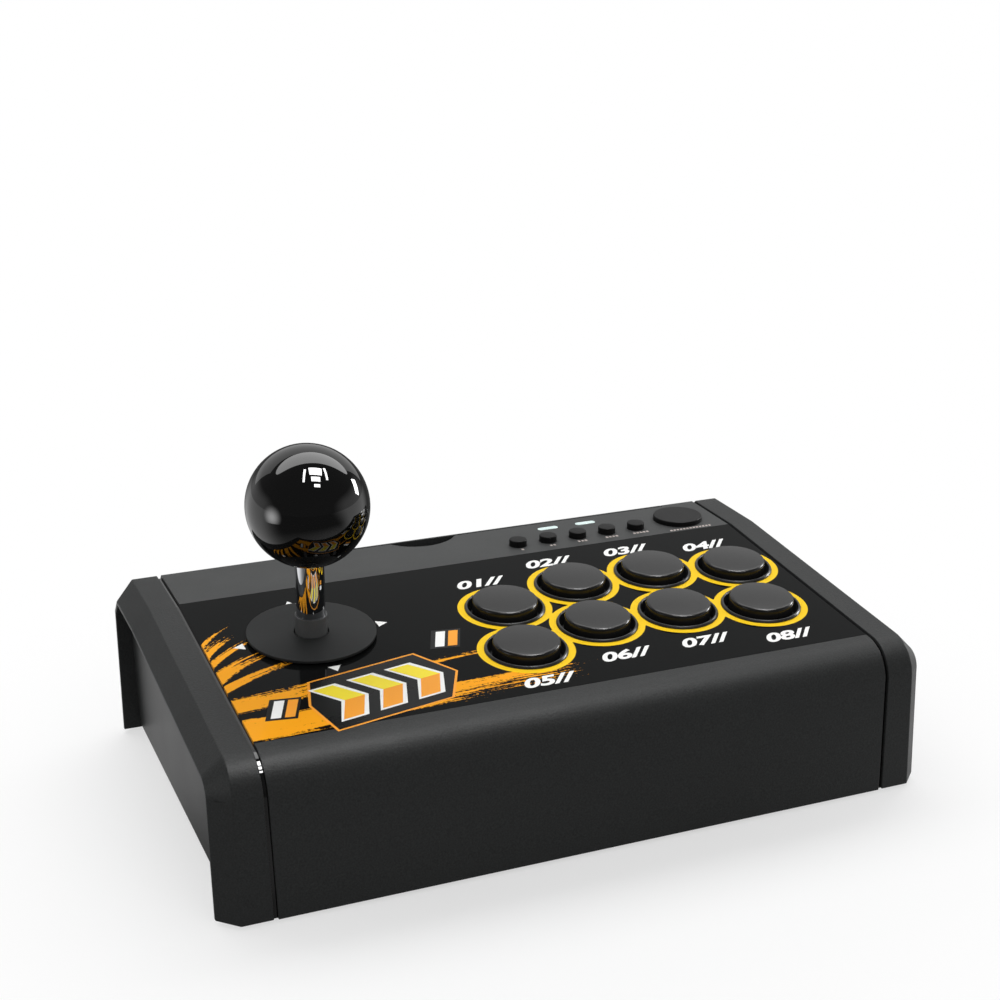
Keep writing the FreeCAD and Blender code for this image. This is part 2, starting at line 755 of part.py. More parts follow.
def make_control_strip():
    """Level strip behind the ridge, with holes for the small buttons, lamps and thumb scoop."""
    body = part_body("control_strip")
    sketch = add_sketch(body, "YZ_Plane", "strip_profile")
    add_outline(
        sketch,
        [
            ("ridge_y", STRIP_SEAT),
            (f"rear_top_y + strip_thick*{CHAMFER_RUN}", STRIP_SEAT),
            ("rear_top_y", "ridge_z"),
            ("ridge_y", "ridge_z"),
        ],
    )
    pad(body, sketch, "2*housing_half", both_ways=True)
    sketch = add_sketch(body, "XY_Plane", "strip_holes", "ridge_z")
    for index in range(len(FUNCTION_BUTTON_NAMES)):
        place = f"function_x + {index}*function_pitch"
        add_circle(sketch, place, "function_y", "function_radius + plunger_fit")
    add_circle(sketch, "start_x", "start_y", "start_radius + plunger_fit")
    for x in ("lamp_left_x", "lamp_right_x"):
        add_slot(sketch, x, "lamp_y", "lamp_length", "lamp_width")
    pocket(body, sketch, "strip_thick")
    sketch = add_sketch(body, "XY_Plane", "door_lip_gap", "ridge_z")
    add_rectangle(
        sketch, "door_left_x", "door_right_x", "rear_top_y - door_lip - door_gap", "rear_mid_y"
    )
    pocket(body, sketch, "strip_thick")
    sketch = add_sketch(body, "XY_Plane", "thumb_scoop", "ridge_z")
    scoop_radius = "(scoop_width^2/8/scoop_depth + scoop_depth/2)"
    add_circle(sketch, "scoop_x", f"rear_top_y - scoop_depth + {scoop_radius}", scoop_radius)
    scooped = pocket(body, sketch, "strip_thick")
    top = number("ridge_z")
    front = number("rear_top_y - scoop_depth")
    widest_button = number("start_radius") + 1

    def on_scoop_rim(edge, middle):
        if edge.Curve.TypeId != "Part::GeomCircle" or edge.Curve.Radius < widest_button:
            return False
        return abs(middle.z - top) < 1e-6 and middle.y > front - 0.01

    soften(body, "Fillet", scooped, on_scoop_rim, "0.3*strip_thick")
    sketch = add_sketch(body, "XY_Plane", "board_bosses", f"ridge_z - ({STRIP_BOARD_TOP})")
    for x, y in STRIP_BOSSES:
        add_circle(sketch, x, y, "strip_boss_radius")
    pad(body, sketch, f"{STRIP_BOARD_TOP} - 0.5*strip_thick")
    sketch = add_sketch(body, "XY_Plane", "board_boss_holes", f"ridge_z - ({STRIP_BOARD_TOP})")
    for x, y in STRIP_BOSSES:
        add_circle(sketch, x, y, "board_screw_radius")
    pocket(body, sketch, f"{STRIP_BOARD_TOP} - strip_thick", backwards=True)


def make_bottom_cover():
    """Flat base plate inside the walls, with foot recesses and counterbored screw holes."""
    body = part_body("bottom_cover")
    side = "housing_half - seam"
    sketch = add_sketch(body, "XY_Plane", "base_outline", "foot_height")
    add_rectangle(
        sketch,
        f"-({side})",
        side,
        "front_low_y + case_wall + seam + bottom_thick*0.1",
        "rear_low_y - case_wall - seam - bottom_thick*0.1",
    )
    pad(body, sketch, "bottom_thick")
    sketch = add_sketch(body, "XY_Plane", "foot_recesses", "foot_height")
    for x in ("-foot_x", "foot_x"):
        for y in ("foot_front_y", "foot_rear_y"):
            add_circle(sketch, x, y, "foot_radius + seam")
    pocket(body, sketch, "foot_recess", backwards=True)
    sketch = add_sketch(body, "XY_Plane", "base_screw_holes", "foot_height")
    for x, y in POSTS:
        add_circle(sketch, x, y, "screw_radius + screw_fit")
    pocket(body, sketch, "bottom_thick", backwards=True)
    sketch = add_sketch(body, "XY_Plane", "base_counterbores", "foot_height")
    for x, y in POSTS:
        add_circle(sketch, x, y, "screw_head_radius + screw_fit")
    pocket(body, sketch, "screw_head_height", backwards=True)
    sketch = add_sketch(body, "XY_Plane", "base_ribs", "foot_height + bottom_thick")
    for index in range(BASE_RIBS):
        middle = f"({index} - {(BASE_RIBS - 1) / 2})*base_rib_pitch - base_rib_pitch/2"
        low = f"{middle} - base_rib_thick/2"
        reach = "post_column_x - post_radius - 2*seam"
        add_rectangle(sketch, f"-({reach})", reach, low, f"{middle} + base_rib_thick/2")
    pad(body, sketch, "base_rib_height")


def make_end_cap():
    """Right end cap: a bevelled band that follows the case, with a deep lip round its side."""
    body = part_body("right_end_cap")
    inner = "housing_half + trim_width"
    sketch = add_sketch(body, "YZ_Plane", "cap_profile", inner)
    add_case_outline(sketch)
    pad(body, sketch, f"case_half - ({inner})")
    sketch = add_sketch(body, "XZ_Plane", "side_lean_cut")
    slant = "side_lean/(ridge_z - foot_height)"
    add_outline(
        sketch,
        [
            ("case_half", "foot_height"),
            ("case_half + 2", "foot_height"),
            ("case_half + 2", "ridge_z + 5"),
            (f"case_half - {slant}*(ridge_z + 5 - foot_height)", "ridge_z + 5"),
        ],
    )
    leaning = pocket(body, sketch, "2*rear_low_y + 20", both_ways=True)
    outer = number("case_half") - 2 * number("side_lean")
    base = number("foot_height")

    def on_outer_rim(edge, middle):
        return middle.x > outer and middle.z > base + 0.01

    soften(body, "Chamfer", leaning, on_outer_rim, "cap_bevel")
    sketch = add_sketch(body, "YZ_Plane", "side_recess", "case_half + 1")
    add_case_outline(sketch, "cap_bevel + cap_lip", "1")
    pocket(body, sketch, "side_recess + 1")
    sketch = add_sketch(body, "YZ_Plane", "cap_inside", inner)
    add_case_outline(sketch, "cap_wall", "-cap_wall")
    pocket(body, sketch, f"case_half - side_recess - side_web - ({inner})", backwards=True)
    return body


def make_side_panel():
    """Right side panel, sunk in the cap's lip and ending above the cap's legs."""
    body = part_body("right_side_panel")
    sketch = add_sketch(body, "YZ_Plane", "side_panel_outline", "case_half - side_recess")
    add_case_outline(sketch, "cap_bevel + cap_lip + seam", "-side_panel_rise")
    pad(body, sketch, "side_panel_thick")
    return body


def make_trim():
    """Right trim: the thin band at the bottom of the groove beside the end cap."""
    body = part_body("right_trim")
    sketch = add_sketch(body, "YZ_Plane", "trim_outline", "housing_half")
    add_case_outline(sketch, "trim_inset")
    pad(body, sketch, "trim_width")
    sketch = add_sketch(body, "YZ_Plane", "trim_inside", "housing_half")
    add_case_outline(sketch, "trim_inset + trim_depth", "1")
    pocket(body, sketch, "trim_width", backwards=True)
    return body


def make_foot(x, y):
    """One rubber foot with a soft lower edge."""
    foot = document.addObject("PartDesign::Body", "foot")
    sketch = add_sketch(foot, "XZ_Plane", "foot_section")
    top = "foot_height + foot_recess"
    corners = [("0", "0"), ("foot_radius", "0"), ("foot_radius", top), ("0", top)]
    add_outline(sketch, corners, {1: "foot_edge"})
    revolve(foot, sketch)
    bind(foot, "Placement.Base.x", x)
    bind(foot, "Placement.Base.y", y)
    return foot


def make_feet():
    """Four round rubber feet in the base plate's recesses."""
    places = [(x, y) for x in ("-foot_x", "foot_x") for y in ("foot_front_y", "foot_rear_y")]
    combine("Compound", "rubber_feet", [make_foot(x, y) for x, y in places])


def make_screw(length, kind="screw"):
    """One pan-head screw, not yet placed, with its head at the bottom."""
    head = primitive(
        "Cylinder", "screw_head", Radius=f"{kind}_head_radius", Height=f"{kind}_head_height"
    )
    shank = primitive("Cylinder", "screw_shank", Radius=f"{kind}_radius", Height=length)
    return combine("MultiFuse", "screw", [head, shank], node=False)


def make_screws():
    """Screws up through the base plate, the joystick's plate and the strip's board."""
    screws = []
    for x, y in POSTS:
        screw = make_screw("bottom_thick + screw_length - 1")
        bind(screw, "Placement.Base.x", x)
        bind(screw, "Placement.Base.y", y)
        bind(screw, "Placement.Base.z", "foot_height")
        screws.append(screw)
    for x, v in MOUNT_BOSSES:
        screw = make_screw("screw_head_height + mount_plate_thick + mount_boss_drop - 0.5")
        lift = f"-({PLATE_TOP}) - mount_plate_thick - screw_head_height"
        on_panel(screw, x, v, lift)
        screws.append(screw)
    for x, y in STRIP_BOSSES:
        screw = make_screw("board_screw_head_height + strip_board_thick + 3", "board_screw")
        lift = f"-({STRIP_BOARD_TOP}) - strip_board_thick - board_screw_head_height"
        on_strip(screw, x, y, lift)
        screws.append(screw)
    combine("Compound", "case_screws", screws)


# ---------------------------------------------------------------- rear door


def make_rear_door():
    """Hatch that follows the chamfer and the rear wall, with its hinge barrel along the bottom."""
    body = part_body("rear_door")
    left = "door_left_x + door_gap"
    width = "door_right_x - door_left_x - 2*door_gap"
    chamfer = "atan((ridge_z - rear_mid_z)/(rear_mid_y - rear_top_y))"
    lip_depth = f"(door_thick/sin({chamfer}) - door_lip)/({CHAMFER_RUN})"
    sketch = add_sketch(body, "YZ_Plane", "door_profile", left)
    add_outline(
        sketch,
        [
            (HINGE_Y, "hinge_z"),
            (f"{HINGE_Y} + door_thick", "hinge_z"),
            ("rear_mid_y", "rear_mid_z"),
            ("rear_top_y", "ridge_z"),
            ("rear_top_y - door_lip", "ridge_z"),
            ("rear_top_y - door_lip", f"ridge_z - {lip_depth}"),
            ("rear_mid_y - door_thick", f"rear_mid_z - door_thick*tan(45 deg - {chamfer}/2)"),
        ],
        {2: "rear_round"},
    )
    pad(body, sketch, width)
    sketch = add_sketch(body, "YZ_Plane", "hinge_barrel", left)
    add_circle(sketch, HINGE_Y, "hinge_z", "door_thick")
    pad(body, sketch, width)
    sketch = add_sketch(body, "YZ_Plane", "hinge_bore", left)
    add_circle(sketch, HINGE_Y, "hinge_z", "hinge_pin_radius + running_fit")
    pocket(body, sketch, width, backwards=True)
    sketch = add_sketch(body, "XZ_Plane", "cable_notch", "-rear_low_y - 1")
    half = "notch_height/2"
    add_outline(
        sketch,
        [
            (f"notch_x - {half}", f"notch_z - {half}"),
            ("door_right_x + 1", f"notch_z - {half}"),
            ("door_right_x + 1", f"notch_z + {half}"),
            (f"notch_x - {half}", f"notch_z + {half}"),
        ],
        {0: f"0.98*{half}", 3: f"0.98*{half}"},
    )
    pocket(body, sketch, "door_thick + 4", backwards=True)


def make_hinge_pin():
    """Steel rod that the door turns on, held by the case's two lugs."""
    pin = primitive(
        "Cylinder",
        "door_hinge_pin",
        Radius="hinge_pin_radius",
        Height="door_right_x - door_left_x + 2*pin_overhang",
    )
    pin.Placement = FreeCAD.Placement(Vector(), FreeCAD.Rotation(Vector(0, 1, 0), 90))
    bind(pin, "Placement.Base.x", "door_left_x - pin_overhang")
    bind(pin, "Placement.Base.y", HINGE_Y)
    bind(pin, "Placement.Base.z", "hinge_z")
    nodes.append(pin)


def make_cable_compartment():
    """Tray behind the door for the stowed cable, open to the rear."""
    body = part_body("cable_compartment")
    sketch = add_sketch(body, "YZ_Plane", "tray_profile", "tray_left_x")
    add_rectangle(sketch, "tray_front_y", "tray_rear_y", "tray_low_z", "tray_high_z")
    pad(body, sketch, "tray_right_x - tray_left_x")
    sketch = add_sketch(body, "XZ_Plane", "tray_inside", "-tray_rear_y")
    add_rectangle(
        sketch,
        "tray_left_x + tray_wall",
        "tray_right_x - tray_wall",
        "tray_low_z + tray_wall",
        "tray_high_z - tray_wall",
        "tray_round",
    )
    pocket(body, sketch, "tray_rear_y - tray_front_y - tray_wall", backwards=True)
    sketch = add_sketch(body, "XY_Plane", "tray_supports", "foot_height + bottom_thick")
    for x in (
        "tray_left_x + support_inset",
        "(tray_left_x + tray_right_x)/2",
        "tray_right_x - support_inset",
    ):
        left = f"{x} - support_thick/2"
        right = f"{x} + support_thick/2"
        add_rectangle(sketch, left, right, "tray_front_y + 1", "tray_rear_y - 2*tray_wall")
    pad(body, sketch, "tray_low_z - foot_height - bottom_thick")


def route_radii(route):
    """Arc radius at each inner corner of the cable's route."""
    radii = []
    for before, corner, after in zip(route, route[1:], route[2:]):
        arriving = corner - before
        leaving = after - corner
        half = arriving.getAngle(leaving) / 2
        radii.append(0.45 * min(arriving.Length, leaving.Length) / math.tan(half))
    return radii


def route_wire(route):
    """Straight runs joined by tangent arcs along the cable's route."""
    edges = []
    start = route[0]
    for index, radius in enumerate(route_radii(route), start=1):
        corner = route[index]
        back = (route[index - 1] - corner).normalize()
        ahead = (route[index + 1] - corner).normalize()
        half = back.getAngle(ahead) / 2
        reach = radius / math.tan(half)
        centre = corner + (back + ahead).normalize() * (radius / math.sin(half))
        middle = centre + (corner - centre).normalize() * radius
        entry = corner + back * reach
        leave = corner + ahead * reach
        edges.append(Part.LineSegment(start, entry).toShape())
        edges.append(Part.Arc(entry, middle, leave).toShape())
        start = leave
    edges.append(Part.LineSegment(start, route[-1]).toShape())
    return Part.Wire(edges)


def cable_corners():
    """The corners of the cable's route in the case's frame."""
    rear = number("rear_low_y")
    return [Vector(x, rear + y, z) for x, y, z in CABLE_ROUTE]


def make_cable():
    """The free cable, from the gland in the compartment to the plug on the table."""
    route = cable_corners()
    radius = number("cable_radius")
    wire = route_wire(route)
    section = Part.Wire(Part.Circle(route[0], route[1] - route[0], radius).toShape())
    tube = wire.makePipeShell([section], True, False)
    cable = document.addObject("Part::Feature", "usb_cable")
    cable.Label = "usb_cable"
    cable.Shape = tube
    nodes.append(cable)
    print("cable radii", [round(size, 1) for size in route_radii(route)])
    expected = math.pi * radius**2 * wire.Length
    print(f"cable length {wire.Length:.1f}, volume {tube.Volume:.1f} of {expected:.1f}")


# ---------------------------------------------------------------- buttons


def make_button_housing(index, x, v):
    """Snap-in button body: thin rim on the plate, deep well, guide ring and barrel."""
    body = part_body(f"button_housing_{index}")
    sketch = add_sketch(body, "XZ_Plane", "housing_section")
    guide = "plunger_radius + plunger_fit"
    outside = "button_hole - plunger_fit"
    inside = f"{outside} - barrel_wall"
    add_outline(
        sketch,
        [
            (guide, "-button_well_depth"),
            (guide, f"-({GUIDE_LOW})"),
            (inside, f"-({GUIDE_LOW})"),
            (inside, f"-({BOARD_TOP})"),
            (outside, f"-({BOARD_TOP})"),
            (outside, "0"),
            ("button_rim", "0"),
            ("button_rim", "0.35*button_rim_height"),
            ("button_rim - 0.5*button_rim_height", "button_rim_height"),
            ("button_well + 0.2", "button_rim_height"),
            ("button_well", "0.6*button_rim_height"),
            ("button_well", "-button_well_depth"),
        ],
    )
    revolve(body, sketch)
    on_panel(body, x, v)


def make_plunger(index, x, v):
    """Button cap with a domed top, a skirt that slides in the guide and a stem for its switch."""
    body = part_body(f"button_plunger_{index}")
    sketch = add_sketch(body, "XZ_Plane", "plunger_section")
    flange = "plunger_radius + plunger_flange"
    skirt = "plunger_radius - plunger_wall"
    roof = "plunger_height - plunger_wall"
    add_outline(
        sketch,
        [
            ("0", f"-({SKIRT_LOW})"),
            ("stem_radius", f"-({SKIRT_LOW})"),
            ("stem_radius", roof),
            (skirt, roof),
            (skirt, f"-({SKIRT_LOW})"),
            (flange, f"-({SKIRT_LOW})"),
            (flange, f"-({SKIRT_LOW}) + plunger_flange_thick"),
            ("plunger_radius", f"-({SKIRT_LOW}) + plunger_flange_thick"),
            ("plunger_radius", "plunger_height"),
            ("0.45*plunger_radius", "plunger_height + 0.8*plunger_dome"),
            ("0", "plunger_height + plunger_dome"),
        ],
        {8: "plunger_edge", 9: "3*plunger_radius"},
    )
    revolve(body, sketch)
    on_panel(body, x, v)


def make_switch(side, height, nub_radius, nub_height):
    """A push switch, not yet placed: a square case with a round nub."""
    case = primitive(
        "Box",
        "switch_case",
        Length=side,
        Width=side,
        Height=height,
        Placement__Base__x=f"-{side}/2",
        Placement__Base__y=f"-{side}/2",
    )
    nub = primitive(
        "Cylinder", "switch_nub", Radius=nub_radius, Height=f"{height} + {nub_height}"
    )
    return combine("MultiFuse", "switch", [case, nub], node=False)


def make_button_electronics():
    """Board under the main buttons, with one push switch below each plunger."""
    across = [step[0] for step in BUTTON_STEPS]
    lowest = min(step[1] for step in BUTTON_STEPS)
    left = f"buttons_x + ({min(across)})*button_pitch - button_hole - board_left_margin"
    right = "buttons_x + button_hole + board_right_margin"
    front = f"buttons_v + ({lowest})*button_pitch - button_hole - board_front_margin"
    board = primitive(
        "Box",
        "button_board",
        Length=f"{right} - ({left})",
        Width=f"-board_setback - ({front})",
        Height="board_thick",
    )
    on_panel(board, left, front, f"-({BOARD_TOP}) - board_thick")
    nodes.append(board)
    switches = []
    for x, v in MAIN_BUTTONS:
        switch = make_switch(
            "switch_side", "switch_height", "switch_nub_radius", "switch_nub_height"
        )
        on_panel(switch, x, v, f"-({BOARD_TOP})")
        switches.append(switch)
    combine("Compound", "button_switches", switches)


def make_strip_button(name, x, y, radius, height):
    """Small button of the control strip, kept in by its flange."""
    body = part_body(name)
    sketch = add_sketch(body, "XZ_Plane", "button_section")
    flange_top = "-strip_thick - press_gap/3"
    add_outline(
        sketch,
        [
            ("0", "-function_stem_end"),
            ("function_stem", "-function_stem_end"),
            ("function_stem", f"{flange_top} - flange_thick"),
            (f"{radius} + function_flange", f"{flange_top} - flange_thick"),
            (f"{radius} + function_flange", flange_top),
            (radius, flange_top),
            (radius, height),
            ("0", height),
        ],
        {6: "cap_edge"},
    )
    revolve(body, sketch)
    on_strip(body, x, y)


def make_strip_parts():
    """Small buttons, start button, lamps, and the board and switches under them."""
    places = []
    for index, name in enumerate(FUNCTION_BUTTON_NAMES):
        x = f"function_x + {index}*function_pitch"
        make_strip_button(f"{name}_button", x, "function_y", "function_radius", "function_height")
        places.append((x, "function_y"))
    make_strip_button("start_button", "start_x", "start_y", "start_radius", "start_height")
    places.append(("start_x", "start_y"))

    lamps = []
    for name, x in (("left_lamp", "lamp_left_x"), ("right_lamp", "lamp_right_x")):
        body = document.addObject("PartDesign::Body", name)
        sketch = add_sketch(body, "XY_Plane", "lamp_outline", f"-({STRIP_BOARD_TOP})")
        length = "lamp_length - press_gap"
        add_slot(sketch, "0", "0", length, "lamp_width - press_gap")
        pad(body, sketch, f"{STRIP_BOARD_TOP} + lamp_proud")
        on_strip(body, x, "lamp_y")
        lamps.append(body)
    combine("Compound", "led_guides", lamps)

    board = part_body("strip_board")
    sketch = add_sketch(board, "XY_Plane", "board_outline", f"ridge_z - ({STRIP_BOARD_TOP})")
    left = "opening_left_x + 1"
    right = "opening_right_x - 1"
    add_rectangle(sketch, left, right, "opening_front_y + 1.5", "opening_rear_y - 0.5")
    for x, y in STRIP_BOSSES:
        add_circle(sketch, x, y, "board_screw_radius + screw_fit")
    pad(board, sketch, "strip_board_thick", backwards=True)
    switches = []
    for x, y in places:
        switch = make_switch(
            "small_switch_side",
            "small_switch_height",
            "small_nub_radius",
            "small_nub_height",
        )
        on_strip(switch, x, y, f"-({STRIP_BOARD_TOP})")
        switches.append(switch)
    combine("Compound", "strip_switches", switches)


# ---------------------------------------------------------------- joystick


def on_stick(item):
    """Put a part on the stick's axis, with its zero at the panel's surface."""
    on_panel(item, "stick_x", "stick_v")


def stick_ring(name, outer, inner, low, high, edge=None):
    """A plain ring on the stick's axis between two heights over the panel."""
    body = part_body(name)
    sketch = add_sketch(body, "XZ_Plane", "ring_section")
    corners = [(inner, low), (outer, low), (outer, high), (inner, high)]
    add_outline(sketch, corners, {2: edge} if edge else None)
    revolve(body, sketch)
    on_stick(body)
    return body


def make_stick_mount():
    """Steel plate screwed to four bosses under the panel."""
    body = part_body("joystick_plate")
    low = f"-({PLATE_TOP}) - mount_plate_thick"
    sketch = add_sketch(body, "XY_Plane", "plate_shape", low)
    half_x = "mount_plate_x/2"
    half_v = "mount_plate_v/2"
    add_rectangle(sketch, f"-{half_x}", half_x, f"-{half_v}", half_v, "3")
    add_circle(sketch, "0", "0", "panel_hole")
    for x in BOSS_X:
        for v in BOSS_V:
            add_circle(sketch, x, v, "screw_radius + screw_fit")
    pad(body, sketch, "mount_plate_thick")
    on_stick(body)


def make_stick_housing():
    """Plastic block that carries the yoke's trunnions."""
    body = part_body("joystick_housing")
    top = f"{PLATE_TOP} + mount_plate_thick"
    half = "housing_side/2"
    sketch = add_sketch(body, "XY_Plane", "block_shape", "-housing_bottom")
    add_rectangle(sketch, f"-{half}", half, f"-{half}", half, "2")
    add_circle(sketch, "0", "0", "housing_bore")
    pad(body, sketch, f"housing_bottom - ({top})")
    sketch = add_sketch(body, "YZ_Plane", "trunnion_holes")
    add_circle(sketch, "0", "-pivot_depth", "trunnion_radius + running_fit")
    pocket(body, sketch, "housing_side + 2", both_ways=True)
    on_stick(body)


def make_yoke():
    """Gimbal ring: its trunnions turn in the housing and the shaft's cross pin turns in it."""
    body = part_body("gimbal_yoke")
    sketch = add_sketch(body, "XY_Plane", "yoke_disc", "-pivot_depth - yoke_height/2")
    add_circle(sketch, "0", "0", "yoke_outer")
    pad(body, sketch, "yoke_height")
    sketch = add_sketch(body, "YZ_Plane", "trunnions")
    add_circle(sketch, "0", "-pivot_depth", "trunnion_radius")
    pad(body, sketch, "2*housing_side/2 - 3", both_ways=True)
    sketch = add_sketch(body, "XY_Plane", "yoke_bore", "-pivot_depth + yoke_height/2")
    add_circle(sketch, "0", "0", "yoke_inner")
    pocket(body, sketch, "yoke_height")
    sketch = add_sketch(body, "XZ_Plane", "cross_pin_holes")
    add_circle(sketch, "0", "-pivot_depth", "trunnion_radius + running_fit")
    pocket(body, sketch, "2*yoke_outer + 2", both_ways=True)
    on_stick(body)


def make_shaft():
    """Steel shaft with its cross pin and a thinner lower end for the actuator."""
    body = part_body("joystick_shaft")
    sketch = add_sketch(body, "XZ_Plane", "shaft_section")
    top = "ball_height - ball_radius + ball_bore_depth"
    add_outline(
        sketch,
        [
            ("0", "-shaft_bottom"),
            ("shaft_neck", "-shaft_bottom"),
            ("shaft_neck", "-actuator_top"),
            ("shaft_radius", "-actuator_top"),
            ("shaft_radius", top),
            ("0", top),
        ],
    )
    revolve(body, sketch)
    sketch = add_sketch(body, "XZ_Plane", "cross_pin")
    add_circle(sketch, "0", "-pivot_depth", "trunnion_radius")
    pad(body, sketch, "2*yoke_outer - 0.8", both_ways=True)
    on_stick(body)


def make_ball():
    """Ball top with a small flat underneath and a bore for the shaft."""
    ball = primitive("Sphere", "ball", Radius="ball_radius", Angle1="-acos(ball_flat/ball_radius)")
    bore = primitive(
        "Cylinder",
        "ball_bore",
        Radius="shaft_radius",
        Height="ball_bore_depth",
        Placement__Base__z="-ball_radius",
    )
    bored = document.addObject("Part::Cut", "ball_top")
    bored.Label = "ball_top"
    bored.Base = ball
    bored.Tool = bore
    on_panel(bored, "stick_x", "stick_v", "ball_height")
    nodes.append(bored)


def make_gate():
    """Restrictor: a square opening that the actuator moves in, on four posts."""
    body = part_body("restrictor_gate")
    sketch = add_sketch(body, "XY_Plane", "gate_shape", "-gate_top - gate_thick")
    half = "gate_side/2"
    add_rectangle(sketch, f"-{half}", half, f"-{half}", half, "2")
    hole = "gate_opening/2"
    add_rectangle(sketch, f"-{hole}", hole, f"-{hole}", hole, "1")
    pad(body, sketch, "gate_thick")
    sketch = add_sketch(body, "XY_Plane", "gate_posts", "-gate_top")
    for x in ("-gate_post_place", "gate_post_place"):
        for v in ("-gate_post_place", "gate_post_place"):
            add_circle(sketch, x, v, "gate_post_radius")
    pad(body, sketch, "gate_top - housing_bottom")
    on_stick(body)


def make_micro_switches():
    """Four microswitches on the gate, one for each direction."""
    switches = []
    for quarter in range(4):
        turned = quarter % 2
        near = "micro_reach" if quarter < 2 else "-micro_reach - micro_width"
        along = "-micro_length/2"
        length, width = ("micro_width", "micro_length") if turned else ("micro_length", "micro_width")
        place_x, place_v = (near, along) if turned else (along, near)
        box = primitive("Box", "micro_case", Length=length, Width=width, Height="micro_height")
        pieces = [box]
        outer = f"({near}) + micro_width" if quarter < 2 else f"({near}) - blade_length"
        for blade in range(-1, 2):
            side = f"{blade}*blade_pitch - blade_width/2"
            length, width = ("blade_length", "blade_width")
            blade_x, blade_v = (outer, side) if turned else (side, outer)
            if not turned:
                length, width = width, length
            pieces.append(
                primitive(
                    "Box",
                    "blade",
                    Length=length,
                    Width=width,
                    Height="blade_thick",
                    Placement__Base__x=f"({blade_x}) - ({place_x})",
                    Placement__Base__y=f"({blade_v}) - ({place_v})",
                    Placement__Base__z="micro_height/2",
                )
            )
        switch = combine("MultiFuse", "micro_switch", pieces, node=False)
        on_panel(switch, f"stick_x + {place_x}", f"stick_v + {place_v}", "-gate_top")
        switches.append(switch)
    combine("Compound", "joystick_switches", switches)


def make_stick_spring():
    """Centring spring round the shaft, between the yoke and the actuator."""
    low = "actuator_top - spring_wire"
    high = "pivot_depth + yoke_height/2 + 2*spring_wire"
    helix = primitive("Helix", "spring_path", Pitch="spring_pitch", Radius="spring_radius")
    bind(helix, "Height", f"{low} - ({high})")
    section = primitive("Circle", "spring_section", Radius="spring_wire")
    section.Placement = FreeCAD.Placement(Vector(), FreeCAD.Rotation(Vector(1, 0, 0), 90))
    bind(section, "Placement.Base.x", "spring_radius")
    coil = document.addObject("Part::Sweep", "joystick_spring")
    document.recompute()
    coil.Sections = [section]
    coil.Spine = (helix, [])
    coil.Solid = True
    coil.Frenet = True
    coil.Label = "joystick_spring"
    on_panel(coil, "stick_x", "stick_v", f"-({low})")
    nodes.append(coil)


def make_stick():
    """Everything of the joystick, from the ball down to the clip under the actuator."""
    make_stick_mount()
    make_stick_housing()
    make_yoke()
    make_shaft()
    make_ball()
    stick_ring("shaft_collar", "collar_radius", "shaft_radius", "-case_wall", "collar_top", "0.3")
    stick_ring(
        "actuator", "actuator_radius", "shaft_neck", "-actuator_bottom", "-actuator_top", "1"
    )
    clip_top = "-actuator_bottom"
    stick_ring("shaft_clip", "clip_radius", "shaft_neck", f"{clip_top} - clip_thick", clip_top)
    make_gate()
    make_micro_switches()
    make_stick_spring()
    washer_top = "washer_height + washer_thick"
    stick_ring("dust_washer", "washer_radius", "washer_hole", "washer_height", washer_top, "0.3")
    body = part_body("dust_slide")
    sketch = add_sketch(body, "XY_Plane", "slide_shape", "slide_height")
    add_circle(sketch, "0", "0", "slide_radius")
    travel = "1.2*(pivot_depth + washer_height)*tan(stick_tilt)"
    hole = "washer_hole + 0.1"
    reach = f"({hole} + {travel})"
    corners = [
        (f"-({hole})", f"-{reach}"),
        (hole, f"-{reach}"),
        (hole, reach),
        (f"-({hole})", reach),
    ]
    add_outline(sketch, corners, {corner: f"0.9*({hole})" for corner in range(4)})
    pad(body, sketch, "slide_thick")
    on_stick(body)


# ---------------------------------------------------------------- cable end pieces


def make_gland():
    """Tapered gland that holds the cable on the compartment's inner wall."""
    body = part_body("cable_gland")
    seat = "tray_front_y + tray_wall"
    length = f"(rear_low_y + ({CABLE_ROUTE[0][1]}) - ({seat}))"
    sketch = add_sketch(body, "XZ_Plane", "gland_section")
    add_outline(
        sketch,
        [
            ("0", "0"),
            ("gland_radius", "0"),
            ("gland_radius", f"0.35*{length}"),
            ("cable_radius + 0.5", length),
            ("0", length),
        ],
    )
    revolve(body, sketch)
    turned = FreeCAD.Rotation(Vector(1, 0, 0), -90)
    body.Placement = FreeCAD.Placement(cable_corners()[0], turned)
    bind(body, "Placement.Base.y", seat)


def on_plug(item):
    """Put a part on the cable's end, with its own Y along the plug."""
    before, end = cable_corners()[-2:]
    run = end - before
    yaw = math.degrees(math.atan2(-run.x, run.y))
    item.Placement = FreeCAD.Placement(end, FreeCAD.Rotation(Vector(0, 0, 1), yaw))


